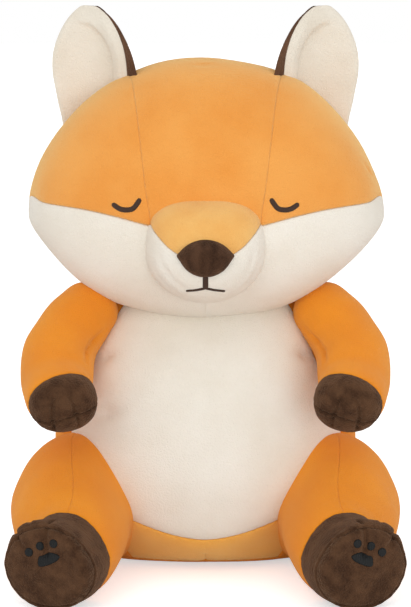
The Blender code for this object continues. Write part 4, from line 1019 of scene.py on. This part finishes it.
def build_arms():
    right = arm_skin()
    columns, rows, cuff = right.columns, right.rows, ARM_CUFF_RING
    half = columns // 2
    paw, ahead = Vector(PAW), (Vector(PAW) - Vector(WRIST)).normalized()

    def shift(place):
        """Lowers the palm's seams and slants the cuff."""
        outward, behind = place.x - paw.x, (paw - place).dot(ahead)
        near = min(max((PALM_SLIDE_FROM - behind) / (PALM_SLIDE_FROM - PALM_SLIDE_TO), 0), 1)
        drop = min(PALM_DROP + PALM_SLANT * outward, PALM_DROP_LIMIT) * eased(near)
        top = (place - paw + ahead * behind).z
        slant = CUFF_AHEAD + (CUFF_OUT_SLANT * outward + CUFF_TOP_SLANT * max(top, 0)) / ARM_RADIUS
        return ahead * (slant * bell((behind - CUFF_PLACE) / CUFF_REACH)) - UP * drop

    right.slide(shift)
    right.soften(*ARM_SWELL)
    right.crease([seen_line(right.tree(), Vector(ELBOW), ELBOW_FOLD)], *ELBOW_CUT)
    tree, centre = right.tree(), paw + Vector((PAW_OFF_SIDE, 0, PAW_OFF_RISE))
    right.crease([seen_line(tree, centre, line, ahead) for line in FINGERS], *FINGER_CUT)
    right.sew((cuff, (0, columns)))
    right.sew(((cuff, rows), 0), ((cuff, rows), half), lip=LIP)
    for side, _, skin in both_sides(right):
        add_skins(skin, "arm" + side, (
            ("sleeve_plush", (0, cuff), (0, columns), "orange", "arm_sleeve", "arm_stuffing"),
            ("paw_top_plush", (cuff, rows), (0, half), "brown", "paw_top"),
            ("paw_palm_plush", (cuff, rows), (half, columns), "brown", "paw_palm")), side)


def build_legs():
    right = leg_skin()
    columns, cuff, sole = right.columns, LEG_CUFF_RING, SOLE_RING
    upper, under = columns // 4, 3 * columns // 4
    centre = Vector((*SOLE, THIGH_HALF_HEIGHT * FOOT_SHARE))
    ahead = level(Vector(SOLE) - Vector(ANKLE))
    inward = Vector((ahead.y, -ahead.x, 0))

    def shift(place):
        """Slants the sole towards the inner side."""
        away = place - centre
        near = bell(away.dot(ahead) / SOLE_SLIDE_REACH)
        return -ahead * (SOLE_SLIDE * near * max(away.dot(inward), 0) / (THIGH_HALF_WIDTH * FOOT_SHARE))

    def bulge(place):
        """Fills out the upper outer rim of the sole."""
        away = place - centre
        angle = degrees(atan2(away.z, -away.dot(inward)))
        rim = min(1, away.length / (THIGH_HALF_HEIGHT * FOOT_SHARE)) ** TOE_BULGE_POWER
        near = bell(away.dot(ahead) / TOE_BULGE_REACH) * bell((angle - TOE_BULGE_DEG) / TOE_BULGE_SPREAD_DEG)
        return TOE_BULGE * near * rim

    right.press(bulge)
    right.slide(shift)
    right.soften(*LEG_SWELL)
    tree = right.tree()
    toes = [seen_line(tree, centre, line, ahead) for line in TOE_CREASES]
    right.crease(toes, *TOE_CUT)
    middle = (centre + UP * MAIN_PAD_RISE + ahead * SOLE_CROWN, 1)
    right.crease([[middle, middle]], *PRINT_CUT)
    right.sew((cuff, (0, columns)))
    right.sew((sole, (0, columns)), lip=LIP)
    right.sew(((0, cuff), upper), ((0, cuff), under), seam=FAINT_SEAM)
    right.settle()
    for side, sign, skin in both_sides(right):
        add_skins(skin, "leg" + side, (
            ("thigh_plush_inner", (0, cuff), (upper, under), "orange", "thigh_inner", "leg_stuffing"),
            ("thigh_plush_outer", (0, cuff), (under, columns + upper), "orange", "thigh_outer"),
            ("foot_plush", (cuff, sole), (0, columns), "brown", "foot_upper"),
            ("sole_plush", (sole, skin.rows), (0, columns), "brown", "foot_sole")), side)
        add_pads(side, sign, skin.tree())


def closed_outline(corners):
    """A smooth closed curve through (outward, up) corners, in millimetres."""
    path = [Vector((*corner, 0)) * MM for corner in (*corners[-2:], *corners, *corners[:3])]
    first, whole = 2 / (len(path) - 1), len(corners) / (len(path) - 1)
    return [path_point(path, first + whole * step / PAD_COLUMNS)[0][:2] for step in range(PAD_COLUMNS)]


def add_pads(side, sign, tree):
    """The four embroidered pads on a sole."""
    body = "leg" + side
    heading = level(Vector(((SOLE[0] - ANKLE[0]) * sign, SOLE[1] - ANKLE[1], 0)))
    outward = heading.cross(UP).normalized() * -sign
    height = THIGH_HALF_HEIGHT * FOOT_SHARE + MAIN_PAD_RISE
    centre = Vector(((SOLE[0] - MAIN_PAD_SHIFT) * sign, SOLE[1], height))
    shape = pad_shape(tree, centre, heading, outward, closed_outline(MAIN_PAD_CORNERS))
    add_stitches("main_pad_stitch" + side, shape, body, "pad", "main_pad" + side)
    circle = [(TOE_PAD_RADIUS * cos(angle), TOE_PAD_RADIUS * sin(angle)) for angle in full_turn(PAD_COLUMNS)]
    for toe, (across, rise) in TOE_PLACES.items():
        shape = pad_shape(tree, centre + (outward * across + UP * rise) * MM, heading, outward, circle)
        add_stitches(f"toe_stitch_{toe}{side}", shape, body, "pad", f"toe_pad_{toe}{side}")


def build_tail():
    tail = tail_skin()
    around, tip = (0, tail.columns), TAIL_TIP_RING
    tail.soften(*TAIL_SWELL)
    tail.sew((tip, around))
    tail.settle()
    add_skins(tail, "tail", (("tail_plush", (0, tip), around, "orange", "tail_sleeve", "tail_stuffing"),
                             ("tail_tip_plush", (tip, tail.rows), around, "cream", "tail_tip")))


def add_camera():
    data = bpy.data.cameras.new("camera")
    data.lens, data.sensor_width = LENS_MM, SENSOR_MM
    camera = add_object("camera", data)
    elevation = radians(CAMERA_ELEVATION_DEG)
    camera.location = (0, -CAMERA_DISTANCE * cos(elevation), TARGET_Z + CAMERA_DISTANCE * sin(elevation))
    camera.rotation_euler = (pi / 2 - elevation, 0, 0)
    SCENE.camera = camera


def add_light(name, place, size, power_w):
    data = bpy.data.lights.new(name, "AREA")
    data.size, data.energy = size, power_w
    light = add_object(name, data)
    light.location = place
    light.rotation_euler = (UP * LIGHT_TARGET_Z - Vector(place)).to_track_quat("-Z", "Y").to_euler()


def background_rays(tree):
    """1 for the rays that see the background: from the camera, off gloss or through glass."""
    rays = add_node(tree, "LightPath")
    total = rays.outputs["Is Camera Ray"]
    for name in ("Is Glossy Ray", "Is Transmission Ray"):
        larger = add_node(tree, "Math", {}, {0: total, 1: rays.outputs[name]}, operation="MAXIMUM")
        total = larger.outputs["Value"]
    return total


def add_studio():
    """A white world, two soft lamps and a bright floor."""
    world = bpy.data.worlds.new("studio")
    SCENE.world = world
    world.use_nodes = True
    tree = world.node_tree
    seen = {"Value": background_rays(tree)}
    strength = add_node(tree, "MapRange", {"To Min": WORLD_STRENGTH, "To Max": 1}, seen)
    fill_in(tree, tree.nodes["Background"], {"Color": WHITE}, {"Strength": strength.outputs["Result"]})
    add_light("key", *KEY_LIGHT)
    add_light("fill", *FILL_LIGHT)
    corners = [(FLOOR_REACH * x, FLOOR_REACH * y, 0) for x, y in ((-1, -1), (1, -1), (1, 1), (-1, 1))]
    floor_mesh = bpy.data.meshes.new("floor")
    floor_mesh.from_pydata(corners, [], [(0, 1, 2, 3)])
    tree, shader = new_material("floor")
    glow = add_node(tree, "Math", {1: FLOOR_GLOW}, {0: background_rays(tree)}, operation="MULTIPLY")
    fill_in(tree, shader, FLOOR_SHADER, {"Emission Strength": glow.outputs["Value"]})
    floor_mesh.materials.append(MATERIALS["floor"])
    add_object("floor", floor_mesh)


add_camera()
add_studio()
for finish, look in PLUSHES.items():
    plush(finish, *look)
for finish, look in STITCHES.items():
    stitched(finish, *look)
build_head()
build_ears()
build_body()
build_arms()
build_legs()
build_tail()
SCENE.view_settings.view_transform = "Standard"
